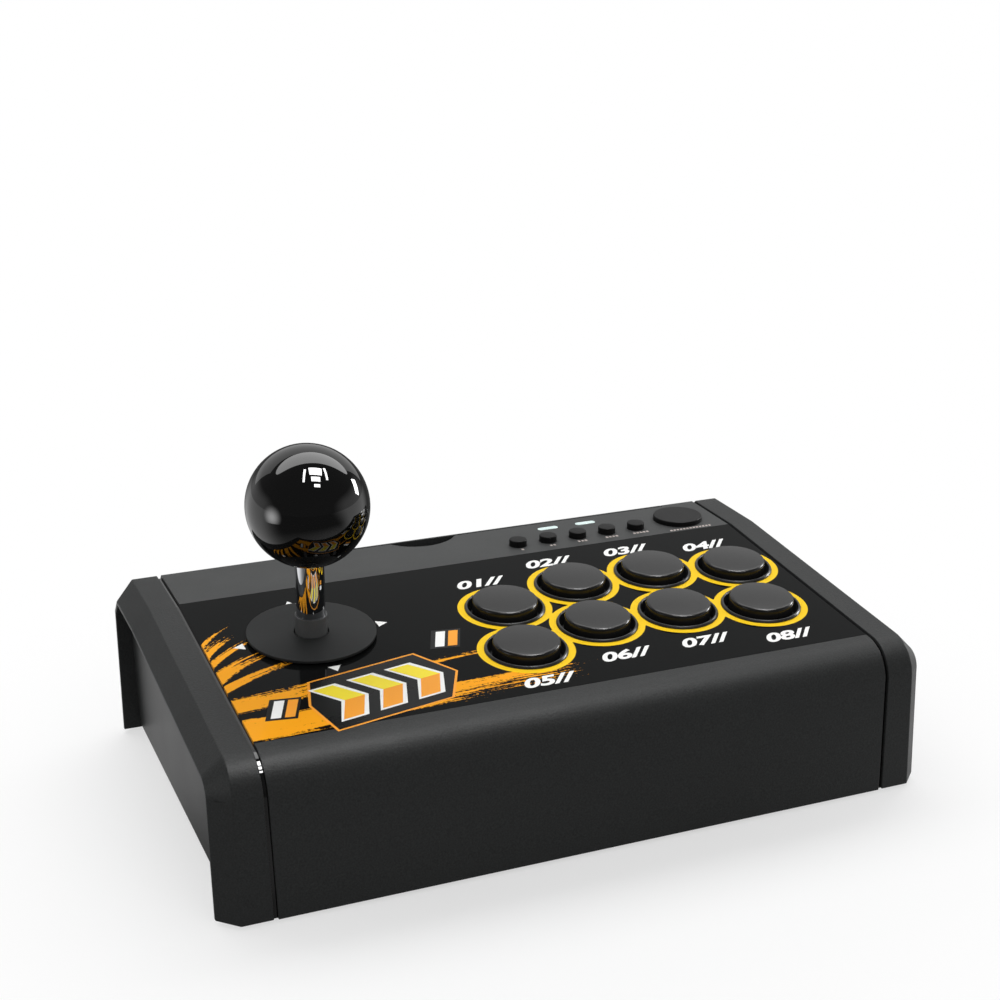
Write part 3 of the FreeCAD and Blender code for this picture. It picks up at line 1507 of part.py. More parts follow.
def make_plug_grip():
    """Moulded grip with a ringed strain relief, a narrow neck, side ribs and a sunk window."""
    body = part_body("usb_plug_grip")
    middle = "relief_length + 0.35*grip_length"
    end = "relief_length + grip_length"
    neck = "0.36*grip_width"
    half = "grip_width/2"
    sketch = add_sketch(body, "XY_Plane", "grip_plan", "-grip_thick/2")
    add_outline(
        sketch,
        [
            (f"-{neck}", "relief_length"),
            (neck, "relief_length"),
            (neck, "relief_length + 0.2*grip_length"),
            (half, middle),
            (half, end),
            (f"-{half}", end),
            (f"-{half}", middle),
            (f"-{neck}", "relief_length + 0.2*grip_length"),
        ],
        {0: "1", 1: "1", 3: "2", 4: "1", 5: "1", 6: "2"},
    )
    grip = pad(body, sketch, "grip_thick")
    top = number("grip_thick") / 2

    def on_rim(edge, point):
        return abs(abs(point.z) - top) < 1e-6

    soften(body, "Chamfer", grip, on_rim, "0.6")
    for side in ("-", ""):
        sketch = add_sketch(body, "XY_Plane", "grip_ribs", "-grip_thick/2")
        for rib in range(GRIP_RIBS):
            low = f"{middle} + grip_rib_gap + {rib}*grip_rib_pitch"
            edges = [f"{side}({half} - grip_rib_depth)", f"{side}({half} + 1)"]
            left, right = edges if side == "" else reversed(edges)
            add_rectangle(sketch, left, right, low, f"{low} + grip_rib_gap")
        pocket(body, sketch, "grip_thick", backwards=True)
    sketch = add_sketch(body, "XY_Plane", "grip_window", "grip_thick/2")
    front = f"{end} - 2.5"
    sides = ("-0.3*grip_width", "0.3*grip_width")
    add_rectangle(sketch, *sides, f"{front} - window_length", front, "0.8")
    pocket(body, sketch, "window_depth")
    sketch = add_sketch(body, "XZ_Plane", "relief_core")
    add_circle(sketch, "0", "0", "relief_radius - 0.5")
    pad(body, sketch, "relief_length + 1", backwards=True)
    for ring in range(RELIEF_RINGS):
        place = f"-0.4 - {ring}*relief_pitch"
        sketch = add_sketch(body, "XZ_Plane", "relief_ring", place)
        add_circle(sketch, "0", "0", "relief_radius + 0.4")
        pad(body, sketch, "relief_ring", backwards=True)
    on_plug(body)


def make_plug_shell():
    """Metal shell with its two square catches, and the contact tongue inside."""
    start = "relief_length + grip_length"
    body = part_body("usb_plug_shell")
    sketch = add_sketch(body, "XZ_Plane", "shell_section", f"-({start})")
    half_x = "shell_width/2"
    half_z = "shell_thick/2"
    add_rectangle(sketch, f"-{half_x}", half_x, f"-{half_z}", half_z, "0.5")
    pad(body, sketch, "shell_length", backwards=True)
    sketch = add_sketch(body, "XZ_Plane", "shell_inside", f"-({start}) - 1")
    inner_x = f"{half_x} - shell_wall"
    inner_z = f"{half_z} - shell_wall"
    add_rectangle(sketch, f"-({inner_x})", inner_x, f"-({inner_z})", inner_z)
    pocket(body, sketch, "shell_length")
    sketch = add_sketch(body, "XY_Plane", "shell_catches")
    for x in ("-0.2*shell_width", "0.2*shell_width"):
        low = f"{start} + 0.45*shell_length"
        add_rectangle(sketch, f"{x} - 1", f"{x} + 1", low, f"{low} + 2")
    pocket(body, sketch, "shell_thick + 1", both_ways=True)
    on_plug(body)

    body = part_body("usb_plug_tongue")
    sketch = add_sketch(body, "XZ_Plane", "tongue_section", f"-({start}) - 1")
    low = f"{inner_z} - tongue_thick"
    add_rectangle(sketch, f"-({inner_x})", inner_x, low, inner_z)
    pad(body, sketch, "shell_length - 1.4", backwards=True)
    on_plug(body)


def build_all():
    """Make every part of the panel."""
    make_top_case()
    make_faceplate()
    make_control_strip()
    make_bottom_cover()
    mirror_node("left_end_cap", make_end_cap())
    mirror_node("left_side_panel", make_side_panel())
    mirror_node("left_trim", make_trim())
    make_feet()
    make_screws()
    make_rear_door()
    make_hinge_pin()
    make_cable_compartment()
    for index, (x, v) in enumerate(MAIN_BUTTONS, start=1):
        make_button_housing(index, x, v)
        make_plunger(index, x, v)
    make_button_electronics()
    make_strip_parts()
    make_stick()
    make_gland()
    make_cable()
    make_plug_grip()
    make_plug_shell()


def check_all():
    """Stop unless every object recomputed and every part is a valid solid."""
    document.recompute()
    for item in document.Objects:
        if {"Invalid", "Error"} & set(item.State):
            raise RuntimeError(f"{item.Label} failed: {item.State}")
    for node in nodes:
        shape = node.Shape
        if shape.isNull() or not shape.isValid() or not shape.Solids:
            raise RuntimeError(f"{node.Label} isn't a valid solid")


def export_all():
    """Write one STEP file for each node."""
    os.makedirs("parts", exist_ok=True)
    for node in nodes:
        node.Shape.exportStep(f"parts/{node.Label}.step")
        print(node.Label, len(node.Shape.Solids), round(node.Shape.Volume, 1))


build_all()
check_all()
export_all()
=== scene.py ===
"""Looks of an arcade joystick panel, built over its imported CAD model.

The CAD model gives every place and size. This script adds the camera and the studio, softens the
moulded edges, and makes the finishes, the printed graphics, the cable and the small fasteners.
Sizes are in millimetres, apart from the floor and the lamps, which are in metres.
"""

import json
import logging
import math
from dataclasses import dataclass
from enum import Enum
from functools import partial
from typing import Any, Sequence

import bmesh
import bpy
from mathutils import Matrix, Vector


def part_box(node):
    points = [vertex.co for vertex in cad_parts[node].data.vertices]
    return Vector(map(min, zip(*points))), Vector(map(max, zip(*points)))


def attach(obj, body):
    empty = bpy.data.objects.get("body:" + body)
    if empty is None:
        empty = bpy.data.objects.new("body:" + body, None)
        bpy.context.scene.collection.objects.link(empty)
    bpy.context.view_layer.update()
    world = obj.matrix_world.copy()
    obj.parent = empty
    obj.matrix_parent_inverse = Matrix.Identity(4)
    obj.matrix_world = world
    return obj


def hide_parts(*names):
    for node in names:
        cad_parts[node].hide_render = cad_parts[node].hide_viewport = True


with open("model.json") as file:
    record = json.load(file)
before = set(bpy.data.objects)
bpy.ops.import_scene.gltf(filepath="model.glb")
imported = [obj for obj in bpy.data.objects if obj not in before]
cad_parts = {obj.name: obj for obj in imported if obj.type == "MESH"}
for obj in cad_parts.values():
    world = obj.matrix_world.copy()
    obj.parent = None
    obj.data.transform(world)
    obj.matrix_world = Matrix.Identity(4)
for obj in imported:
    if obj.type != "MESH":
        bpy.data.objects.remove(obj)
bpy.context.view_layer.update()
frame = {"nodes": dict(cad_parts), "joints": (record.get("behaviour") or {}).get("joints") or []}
log = logging.getLogger("joystick_panel")

MM = 0.001
TINY = 1e-6
WHITE = "#ffffff"
RIGHT, UP = Vector((1, 0, 0)), Vector((0, 0, 1))
SMOOTH = "SMOOTHSTEP"
# Blender's noise keeps mostly between these two levels.
NOISE_LOW, NOISE_HIGH = 0.3, 0.7

Point, Trio = tuple[float, float], tuple[float, float, float]
Line = Sequence[Point]
Node, Piece, Tree = bpy.types.Node, bpy.types.Object, bpy.types.NodeTree
Shape, Socket = bmesh.types.BMesh, bpy.types.NodeSocket


# ------- node helpers


def linear(colour: str) -> tuple[float, float, float, float]:
    """Turn an sRGB hex value into linear red, green, blue and a full alpha."""
    parts = [int(colour[i : i + 2], 16) / 255 for i in (1, 3, 5)]
    return (*[c / 12.92 if c <= 0.04045 else ((c + 0.055) / 1.055) ** 2.4 for c in parts], 1.0)


def add_node(tree: Tree, kind: str, *given: Any, **settings: Any) -> Node:
    """Add a node with its settings and its links.

    Args:
        tree: The tree that the node goes in.
        kind: Blender's name of the node type, without the tree's own prefix; after a dot its
            operation, if it has one.
        given: What its inputs get, in order, or one dict of that by name or index. A socket, or
            a node's first output that is in use, is linked; anything else is set.
        settings: Properties to set on the node.

    Returns:
        The new node.
    """
    name, _, operation = kind.partition(".")
    prefix = "" if name.startswith("Node") else tree.bl_idname.removesuffix("Tree")
    node = tree.nodes.new(prefix + name)
    if operation:
        node.operation = operation
    for key, value in settings.items():
        setattr(node, key, value)
    by_key = given[0] if given and isinstance(given[0], dict) else dict(enumerate(given))
    for key, value in by_key.items():
        if isinstance(value, Node):
            value = next(socket for socket in value.outputs if socket.enabled)
        if isinstance(value, Socket):
            tree.links.new(value, node.inputs[key])
        else:
            node.inputs[key].default_value = value
    return node


def cleared(owner: bpy.types.ID) -> Tree:
    """Return a material's or a world's node tree, emptied."""
    owner.use_nodes = True
    owner.node_tree.nodes.clear()
    return owner.node_tree


def new_group(name: str, kind: str, inputs: dict[str, str], output: Sequence[str]) -> Tree:
    """Start a node group with its sockets.

    Args:
        name: The group's name.
        kind: Blender's name of the tree type.
        inputs: What each input holds, by its name.
        output: The output's name, and what it holds.

    Returns:
        The group.
    """
    tree = bpy.data.node_groups.new(name, kind)
    for label, holds in inputs.items():
        tree.interface.new_socket(label, in_out="INPUT", socket_type=f"NodeSocket{holds}")
    tree.interface.new_socket(output[0], in_out="OUTPUT", socket_type=f"NodeSocket{output[1]}")
    return tree


# ------- places read from the frame


def stand(place: Vector, right: Vector, up: Vector, out: Vector) -> Matrix:
    """Return the frame that stands at a place with three directions as its X, Y and Z."""
    return Matrix.Translation(place) @ Matrix((right, up, out)).transposed().to_4x4()


@dataclass(frozen=True)
class Plane:
    """A flat face of the case: its origin in metres, and its up direction."""

    origin: Vector
    up: Vector

    def at(self, x: float, v: float, lift: float = 0.0, turn: float = 0.0) -> Matrix:
        """Return a frame on the plane.

        Args:
            x: Millimetres across from the origin.
            v: Millimetres up the slope from the origin.
            lift: Millimetres above the plane.
            turn: Degrees that the frame is turned by on the plane.

        Returns:
            A matrix whose Z is the plane's normal.
        """
        rise = self.up.cross(RIGHT).normalized()
        place = self.origin + (RIGHT * x + rise * v + self.up * lift) * MM
        return stand(place, RIGHT, rise, self.up) @ Matrix.Rotation(math.radians(turn), 4, "Z")

    def local(self, point: Vector) -> Vector:
        """Return a point's millimetres across, up the slope and above the plane."""
        return self.at(0, 0).inverted() @ point / MM


def middle_of(node: str) -> Vector:
    """Return the middle of a CAD node's box, in metres."""
    return sum(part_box(node), Vector()) / 2


def top_ring(node: str, up: Vector, depth: float = 0.00002) -> Vector:
    """Return the middle of a round node's highest edge.

    Args:
        node: The CAD node.
        up: The direction along which it is highest.
        depth: How far below the highest point the edge's other points may be, in metres.

    Returns:
        The edge's middle in metres.
    """
    points = [v.co for v in frame["nodes"][node].data.vertices]
    highest = max(p.dot(up) for p in points)
    ring = [p for p in points if p.dot(up) > highest - depth]
    return sum(ring, Vector()) / len(ring)


PRESS = next(joint for joint in frame["joints"] if joint["name"] == "button_1_press")
PANEL_UP = -Vector(PRESS["axis"]).normalized()
SLOPE = math.atan2(-PANEL_UP.y, PANEL_UP.z)
RIDGE = Vector((0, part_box("control_strip")[0].y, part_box("control_strip")[1].z))
PANEL = Plane(RIDGE, PANEL_UP)
STRIP = Plane(RIDGE, UP)
BUTTONS = [PANEL.local(top_ring(f"button_housing_{i}", PANEL_UP)) for i in range(1, 9)]
STICK = PANEL.local(top_ring("shaft_collar", PANEL_UP))
STICK_AXIS = PANEL.at(STICK.x, STICK.y)


# ------- finishes


@dataclass(frozen=True)
class Finish:
    """A surface: the real material, how it was made, and what that gives the eye.

    Attributes:
        name: The material's common name and how its surface was made.
        colour: Its colour as sRGB hex.
        roughness: How dull it is, from 0 to 1.
        specular: Its gloss level, 0.5 being that of the plain IOR.
        metallic: 1 for a metal.
        grain: Size of its fine texture's cells.
        depth: Depth of that texture.
        fleck: How much lighter the texture's tops are.
        patch: Size of the patches in which its dullness drifts.
        drift: How much its dullness drifts.
        ior: Its refractive index; a metal keeps the default.
    """

    name: str
    colour: str
    roughness: float
    specular: float = 0.5
    metallic: float = 0.0
    grain: float = 0.5
    depth: float = 0.0
    fleck: float = 0.1
    patch: float = 18.0
    drift: float = 0.04
    ior: float = 1.5

    def material(self) -> bpy.types.Material:
        """Return the finish's material, built the first time it is asked for.

        Returns:
            The material that all pieces in this finish share.
        """
        known = bpy.data.materials.get(self.name)
        if known:
            return known
        made = bpy.data.materials.new(self.name)
        tree = cleared(made)
        add = partial(add_node, tree)
        place = add("TexCoord").outputs["Object"]
        place = add("Mapping", {"Vector": place, "Scale": (1 / MM, 1 / MM, 1 / MM)})
        grain, patches = [
            add("TexNoise", {"Vector": place, "Scale": 1 / cell, "Detail": detail})
            for cell, detail in ((self.grain, 2.0), (self.patch, 3.0))
        ]
        low, high = self.roughness - self.drift, self.roughness + self.drift
        surface = {
            "Base Color": self.paint(tree, place, grain),
            "Roughness": add("MapRange", patches, NOISE_LOW, NOISE_HIGH, low, high),
            "Specular IOR Level": self.specular,
            "Metallic": self.metallic,
        }
        if not self.metallic:
            surface["IOR"] = self.ior
        if self.depth:
            relief = {"Height": grain, "Strength": 1.0, "Distance": self.depth * MM}
            surface["Normal"] = add("Bump", relief)
        add("OutputMaterial", add("BsdfPrincipled", surface))
        return made

    def paint(self, tree: Tree, place: Node, grain: Node) -> Node:
        """Give the base colour, a little lighter on the tops of the texture.

        Args:
            tree: The material's tree.
            place: The piece's own coordinates in millimetres; not used.
            grain: The texture's height.

        Returns:
            The colour.
        """
        base = linear(self.colour)[:3]
        light = (*[min(1.0, c * (1 + self.fleck)) for c in base], 1.0)
        dark = (*[c * (1 - self.fleck) for c in base], 1.0)
        return add_node(tree, "Mix", {0: grain, 6: dark, 7: light}, data_type="RGBA")


@dataclass(frozen=True)
class Brush:
    """The dry brush that all strokes are drawn with."""

    drag: float = 0.035  # what a step along counts, against one across
    hairs: Trio = (1.1, 4.0, 0.7)  # scale, detail and roughness of the bristles
    spots: Trio = (0.9, 3.0, 0.6)  # the same of the worn spots
    shares: Point = (0.72, 0.28)  # of the bristles and of the spots
    tire: float = 1.5  # power at which the ink runs out
    fray: Point = (4.0, 0.2)  # power and strength of the wear at the sides
    least: float = 0.33  # how much of the pattern stays bare even at the start
    crisp: float = 40.0
    reach: float = 1.15  # how far out it may show, in half widths

    def group(self) -> Tree:
        """Return the shader group that draws one stroke as a mask, built on first use.

        Returns:
            The group, with a stroke's place and sizes as its inputs.
        """
        known = bpy.data.node_groups.get("dry_brush")
        if known:
            return known
        inputs = dict.fromkeys(("Place", "Start"), "Vector")
        inputs |= dict.fromkeys(("Angle", "Length", "Width", "Bow", "Dry", "Seed"), "Float")
        tree = new_group("dry_brush", "ShaderNodeTree", inputs, ("Mask", "Float"))
        add = partial(add_node, tree)
        given = add("NodeGroupInput").outputs
        moved = add("VectorMath.SUBTRACT", given["Place"], given["Start"])
        back = add("Math.MULTIPLY", given["Angle"], -1.0)
        turn = {"Vector": moved, "Angle": back}
        level = add("VectorRotate", turn, rotation_type="Z_AXIS")
        along, across, _ = add("SeparateXYZ", level).outputs
        share = add("Math.DIVIDE", along, given["Length"])
        left = add("Math.SUBTRACT", 1.0, share)
        arch = add("Math.MULTIPLY", share, left)
        bowed = add("Math.MULTIPLY", arch, given["Bow"])
        across = add("Math.MULTIPLY_ADD", bowed, -4.0, across)
        half = add("Math.DIVIDE", given["Width"], 2.0)
        edge = add("Math.DIVIDE", add("Math.ABSOLUTE", across), half)
        dragged = add("Math.MULTIPLY", along, self.drag)
        bristles = add("CombineXYZ", dragged, across, given["Seed"])
        marks = []
        for where, (scale, detail, rough) in ((bristles, self.hairs), (level, self.spots)):
            noise = {"Vector": where, "Scale": scale, "Detail": detail, "Roughness": rough}
            marks.append(add("TexNoise", noise))
        ink = add("Math.MULTIPLY", marks[0], self.shares[0])
        ink = add("Math.MULTIPLY_ADD", marks[1], self.shares[1], ink)
        way = add("Math.MAXIMUM", share, 0.0)
        tired = add("Math.POWER", way, self.tire)
        need = add("Math.MULTIPLY_ADD", tired, given["Dry"], self.least)
        frayed = add("Math.POWER", edge, self.fray[0])
        need = add("Math.MULTIPLY_ADD", frayed, self.fray[1], need)
        spare = add("Math.SUBTRACT", ink, need)
        mask = add("Math.MULTIPLY", spare, self.crisp, use_clamp=True)
        limits = (("GREATER", share, 0.0), ("LESS", share, 1.0), ("LESS", edge, self.reach))
        for side, value, limit in limits:
            within = add(f"Math.{side}_THAN", value, limit)
            mask = add("Math.MULTIPLY", mask, within)
        add("NodeGroupOutput", mask)
        return tree


@dataclass(frozen=True)
class Band:
    """One dry-brushed stroke of ink, in the panel's millimetres."""

    start: Point
    angle: float
    length: float
    width: float
    bow: float  # how far its middle bends sideways
    dry: float  # how soon the brush runs dry, from 0 to 1
    seed: float  # which bristles it has


@dataclass(frozen=True)
class PrintedPlate(Finish):
    """Gloss plate printed from behind: yellow rings that run together, and dry-brushed strokes."""

    yellow: str = "#ffd229"
    orange: str = "#ffab25"
    ring: float = 14.39  # outer radius
    ring_edge: float = 0.05
    melt: float = 1.1  # how softly two rings run together
    brush: Brush = Brush()
    bands: tuple[Band, ...] = ()

    def paint(self, tree: Tree, place: Node, grain: Node) -> Node:
        """Lay the strokes and then the rings over the black.

        Args:
            tree: The material's tree.
            place: The piece's own coordinates in millimetres.
            grain: The texture's height, which a back print doesn't show; not used.

        Returns:
            The colour.
        """
        add = partial(add_node, tree)
        back = Matrix.Rotation(-SLOPE, 3, "X") @ (RIDGE / MM)
        panel = add("Mapping", place, -back, (-SLOPE, 0, 0))
        layers = []
        for band in self.bands:
            start, angle = (*band.start, 0), math.radians(band.angle)
            sizes = (band.length, band.width, band.bow, band.dry, band.seed)
            stroke = add("Group", panel, start, angle, *sizes, node_tree=self.brush.group())
            layers.append((stroke, self.orange))
        nearest = None
        for button in BUTTONS:
            away = add("VectorMath.DISTANCE", panel, (button.x, button.y, 0))
            nearest = add("Math.SMOOTH_MIN", nearest, away, self.melt) if nearest else away
        inside = add("MapRange", nearest, self.ring + self.ring_edge, self.ring - self.ring_edge)
        colour: Any = linear(self.colour)
        for mask, ink in (*layers, (inside, self.yellow)):
            inks = {0: mask, 6: colour, 7: linear(ink)}
            colour = add("Mix", inks, data_type="RGBA")
        return colour


# ABS moulded in a spark-eroded tool: a fine even grain that breaks the highlights up. The real
# grain is about 0.15 mm wide, and it is drawn 0.5 mm wide so that it shows.
# Its fleck of 0.35 is painted sparkle: the grain's tops are lighter in colour, standing in for the
# glints of light on the grain.
CASE_ABS = Finish("ABS_fine_spark_grain", "#343535", 0.42, 0.08, depth=0.075, fleck=0.35)
# The same ABS with a shallower grain, matt and even.
STRIP_ABS = Finish("ABS_matt_grey", "#424343", 0.5, 0.1, grain=0.6, depth=0.008)
# Inset side panels, satin ABS with a slight sheen.
SIDE_ABS = Finish("ABS_satin_grey", "#303131", 0.4, 0.1, grain=0.6, depth=0.008, drift=0.01)
# Gloss ABS strip, straight from a mirror-polished tool.
TRIM_GLOSS = Finish("ABS_mirror_black", "#060606", 0.06, 0.6, grain=4.0, drift=0.02)
# Clear polycarbonate sheet, screen-printed on its back: the ink lies under one even gloss.
PLATE = PrintedPlate(
    "polycarbonate_back_printed", "#111212", 0.04, 0.03, grain=4.0, drift=0.01,
    bands=(
        Band((-101, -79.5), 1.0, 150, 12.0, 1.0, 0.46, 3.0),
        Band((-101, -66.0), 10, 66, 9.0, -2.0, 0.38, 11.0),
        Band((-100, -60.0), 22, 44, 3.6, 3.0, 0.3, 13.0),
        Band((-99, -54.0), 30, 40, 6.5, 3.0, 0.4, 17.0),
        Band((-98, -46.5), 38, 34, 3.0, 3.0, 0.3, 23.0),
        Band((-98, -41.5), 44, 30, 4.6, 3.0, 0.42, 29.0),
        Band((-97, -35.5), 50, 24, 2.2, 2.0, 0.3, 31.0),
        Band((-46, -60.5), 4, 50, 3.0, 1.0, 0.55, 37.0),
        Band((-42, -75.0), 2, 76, 5.0, 0.5, 0.5, 41.0),
    ),
)
# Acetal buttons from a finely blasted tool: smooth, with a broad soft gloss.
PLUNGER_POM = Finish("acetal_satin_black", "#1a1a1a", 0.24, 0.3, grain=0.4, drift=0.01)
# ABS rims and small keys, moulded satin: the rims catch more light than the keys.
RIM_ABS = Finish("ABS_satin_rim", "#242526", 0.3, 0.3, grain=0.4, depth=0.003)
SMALL_BUTTON = Finish("ABS_small_button", "#131313", 0.42, 0.09, grain=0.4, depth=0.003)
# Phenolic ball, tumble polished to a deep gloss.
BALL_PHENOLIC = Finish("phenolic_polished_black", "#050505", 0.015, 0.6, grain=8.0, drift=0.005)
# Steel shaft, ground and chromium plated: a mirror.
CHROME = Finish("steel_chromium_plated", "#d8d9dc", 0.03, 0.5, 1.0, 3.0, fleck=0.02, drift=0.01)
# Zinc-plated screws and springs are greyish and uneven; the plug's nickel-plated sheet is warmer.
STEEL = Finish("steel_zinc_plated", "#a9abad", 0.34, 0.5, 1.0, 0.8, depth=0.002, drift=0.08)
SHEET_STEEL = Finish("sheet_steel_nickel_plated", "#b4b2ac", 0.3, 0.5, 1.0, drift=0.1)
# Nylon washer and acetal collar, dull from a blasted tool.
NYLON = Finish("nylon_matt_grey", "#272828", 0.55, 0.08, depth=0.006)
COLLAR_POM = Finish("acetal_collar_grey", "#515252", 0.5, 0.2, depth=0.004)
# Unpolished working parts inside the case.
MECHANISM_POM = Finish("acetal_mechanism_black", "#1d1d1d", 0.4, 0.4)
SWITCH_PBT = Finish("PBT_switch_black", "#17181a", 0.45, 0.4)
# Moulded rubber with a dusty bloom.
RUBBER = Finish("rubber_moulded_black", "#161616", 0.75, 0.3, depth=0.01, fleck=0.2)
# Glass-epoxy board under green solder resist.
BOARD = Finish("epoxy_board_green", "#0d4a26", 0.35, grain=1.2, fleck=0.12)
# Milky light guide, moulded clear and frosted from behind.
LAMP = Finish("polycarbonate_milky_cyan", "#dff3f0", 0.25, grain=1.0, fleck=0.03)
# Extruded cable jacket: smooth, with a faint die drag.
JACKET = Finish("PVC_jacket_satin_black", "#151515", 0.4, 0.4, grain=0.8, depth=0.004)
# Soft overmould of the plug and sleeve, duller than the jacket; hard white tongue in the plug.
PLUG_PVC = Finish("PVC_overmould_black", "#1a1a1a", 0.5, 0.35, depth=0.006)
TONGUE = Finish("LCP_tongue_white", "#e6e6e2", 0.4, 0.4, fleck=0.03)
# Screen inks: flat, dense and slightly dull.
INK_WHITE = Finish("screen_ink_white", "#f8f8f6", 0.5, 0.1, fleck=0.01)
INK_BLACK = Finish("screen_ink_black", "#131414", 0.3, 0.1, fleck=0.02)
INK_ORANGE = Finish("screen_ink_orange", "#ffa528", 0.5, 0.1, fleck=0.02)
INK_YELLOW = Finish("screen_ink_yellow", "#ffe830", 0.5, 0.1, fleck=0.02)
INK_FAINT = Finish("pad_print_faint_grey", "#b8aea9", 0.5, 0.1, fleck=0.05)


# ------- mesh helpers

WELD = 2e-6
SEAM_WELD = 5e-6
COPLANAR = math.radians(0.4)
MOULD_CREASE = 28.0
TURNED_CREASE = 40.0
HOUSING_CREASE = 35.0
BEVEL_STEPS = 2
LONGEST_ROUNDING = 0.45


def settle(piece: Piece, body: str, slot: str, finish: Finish, *replaced: str) -> Piece:
    """Give a finished piece its finish and its body, and hide the CAD nodes that it replaces.

    Args:
        piece: The piece, in its place.
        body: The CAD body that it moves with.
        slot: The record's material slot; not used.
        finish: What its surface is.
        replaced: Names of the CAD nodes that it replaces.

    Returns:
        The same piece.
    """
    piece.data.materials.clear()
    piece.data.materials.append(finish.material())
    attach(piece, body)
    if replaced:
        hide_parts(*replaced)
    log.info("%s rides on %s", piece.name, body)
    return piece


def dress(finish: Finish, *nodes: str) -> None:
    """Give CAD nodes that stay their finish.

    Args:
        finish: What their surface is.
        nodes: The CAD nodes.
    """
    for node in nodes:
        mesh = frame["nodes"][node].data
        mesh.materials.clear()
        mesh.materials.append(finish.material())
        log.info("%s keeps its CAD shape", node)


def link(name: str, data: bpy.types.ID) -> Piece:
    """Put a mesh, a curve, a lamp or a camera in the scene, at the origin."""
    piece = bpy.data.objects.new(name, data)
    bpy.context.scene.collection.objects.link(piece)
    return piece


def poured(name: str, shape: Shape) -> Piece:
    """Turn an editable shape into a piece in the scene, and free the shape."""
    mesh = bpy.data.meshes.new(name)
    shape.to_mesh(mesh)
    shape.free()
    return link(name, mesh)


def as_mesh(piece: Piece) -> bpy.types.Mesh:
    """Return a piece's final shape as a new plain mesh."""
    shape = piece.evaluated_get(bpy.context.evaluated_depsgraph_get())
    return bpy.data.meshes.new_from_object(shape)


def flatten(piece: Piece) -> Piece:
    """Turn a piece's modifiers into plain mesh, and return the piece."""
    mesh = as_mesh(piece)
    piece.modifiers.clear()
    piece.data = mesh
    return piece


def crease(shape: Shape, degrees: float) -> None:
    """Shade a shape smooth, with edges sharper than an angle kept sharp.

    Args:
        shape: The shape.
        degrees: The angle.
    """
    for face in shape.faces:
        face.smooth = True
    for edge in shape.edges:
        gentle = len(edge.link_faces) == 2 and edge.calc_face_angle(0.0) < math.radians(degrees)
        edge.smooth = gentle


def moulded(node: str, edge: float, body: str, slot: str, finish: Finish) -> Piece:
    """Replace a CAD node by a copy with its triangles merged and its sharp edges rounded.

    Args:
        node: The CAD node.
        edge: Width of the rounded edge.
        body: The CAD body that it moves with.
        slot: The record's material slot.
        finish: What its surface is.

    Returns:
        The new piece.
    """
    shape = bmesh.new()
    shape.from_mesh(frame["nodes"][node].data)
    bmesh.ops.remove_doubles(shape, verts=shape.verts, dist=WELD)
    bmesh.ops.dissolve_limit(shape, angle_limit=COPLANAR, verts=shape.verts, edges=shape.edges)
    crease(shape, MOULD_CREASE)
    piece = poured(node + "_moulded", shape)
    bevel = piece.modifiers.new("edge", "BEVEL")
    bevel.width = edge * MM
    bevel.segments = BEVEL_STEPS
    bevel.limit_method = "ANGLE"
    bevel.angle_limit = math.radians(MOULD_CREASE)
    bevel.harden_normals = True
    return settle(flatten(piece), body, slot, finish, node)


def rounded(corners: Line, radius: float, steps: int) -> list[Point]:
    """Round the inner corners of a line of (radius, height) points.

    Args:
        corners: The line's corners.
        radius: Radius of the rounding; it shrinks where a side is short.
        steps: Facets in each rounding.

    Returns:
        The rounded line.
    """
    line = [Vector(c) for c in corners]
    made = [tuple(line[0])]
    for before, corner, after in zip(line, line[1:], line[2:]):
        sides = (before - corner), (after - corner)
        wanted = radius / math.tan(sides[0].angle(sides[1]) / 2)
        reach = min(wanted, *[side.length * LONGEST_ROUNDING for side in sides])
        start, end = [corner + side.normalized() * reach for side in sides]
        for i in range(steps + 1):
            t = i / steps
            made.append(tuple(start * (1 - t) ** 2 + corner * 2 * t * (1 - t) + end * t**2))
    made.append(tuple(line[-1]))
    return made


def circle(count: int) -> list[Point]:
    """Return the cosine and sine of evenly spaced angles of a full turn."""
    turn = [2 * math.pi * i / count for i in range(count)]
    return [(math.cos(a), math.sin(a)) for a in turn]


def join_rings(shape: Shape, rings: Sequence[Sequence[bmesh.types.BMVert]], count: int) -> None:
    """Lay faces between each ring of points and the next; a ring of one point makes a fan.

    Args:
        shape: The shape that the points are in.
        rings: The rings in order.
        count: Points in a full ring.
    """
    for low, high in zip(rings, rings[1:]):
        for i in range(count):
            j = (i + 1) % count
            steps = ((low, i), (low, j), (high, j), (high, i))
            corners = dict.fromkeys(ring[step % len(ring)] for ring, step in steps)
            shape.faces.new(list(corners))


def turned(name: str, profile: Line, place: Matrix, count: int) -> Piece:
    """Turn a line of (radius, height) points round an axis.

    Args:
        name: The piece's name.
        profile: The line, from the bottom up; a radius of 0 closes it.
        place: The axis's own frame, with Z along the axis.
        count: Facets round the axis.

    Returns:
        The new piece, smooth, with its flat faces shaded flat.
    """
    shape = bmesh.new()
    rings = []
    for radius, height in profile:
        ways = circle(count) if radius > TINY else [(0.0, 0.0)]
        ring = [(radius * c * MM, radius * s * MM, height * MM) for c, s in ways]
        rings.append([shape.verts.new(point) for point in ring])
    if profile[0] == profile[-1] and len(rings[0]) > 1:
        for vert in rings[-1]:
            shape.verts.remove(vert)
        rings[-1] = rings[0]
    join_rings(shape, rings, count)
    bmesh.ops.recalc_face_normals(shape, faces=shape.faces)
    crease(shape, TURNED_CREASE)
    bmesh.ops.transform(shape, matrix=place, verts=shape.verts)
    piece = poured(name, shape)
    piece.modifiers.new("flats", "WEIGHTED_NORMAL").keep_sharp = True
    return flatten(piece)


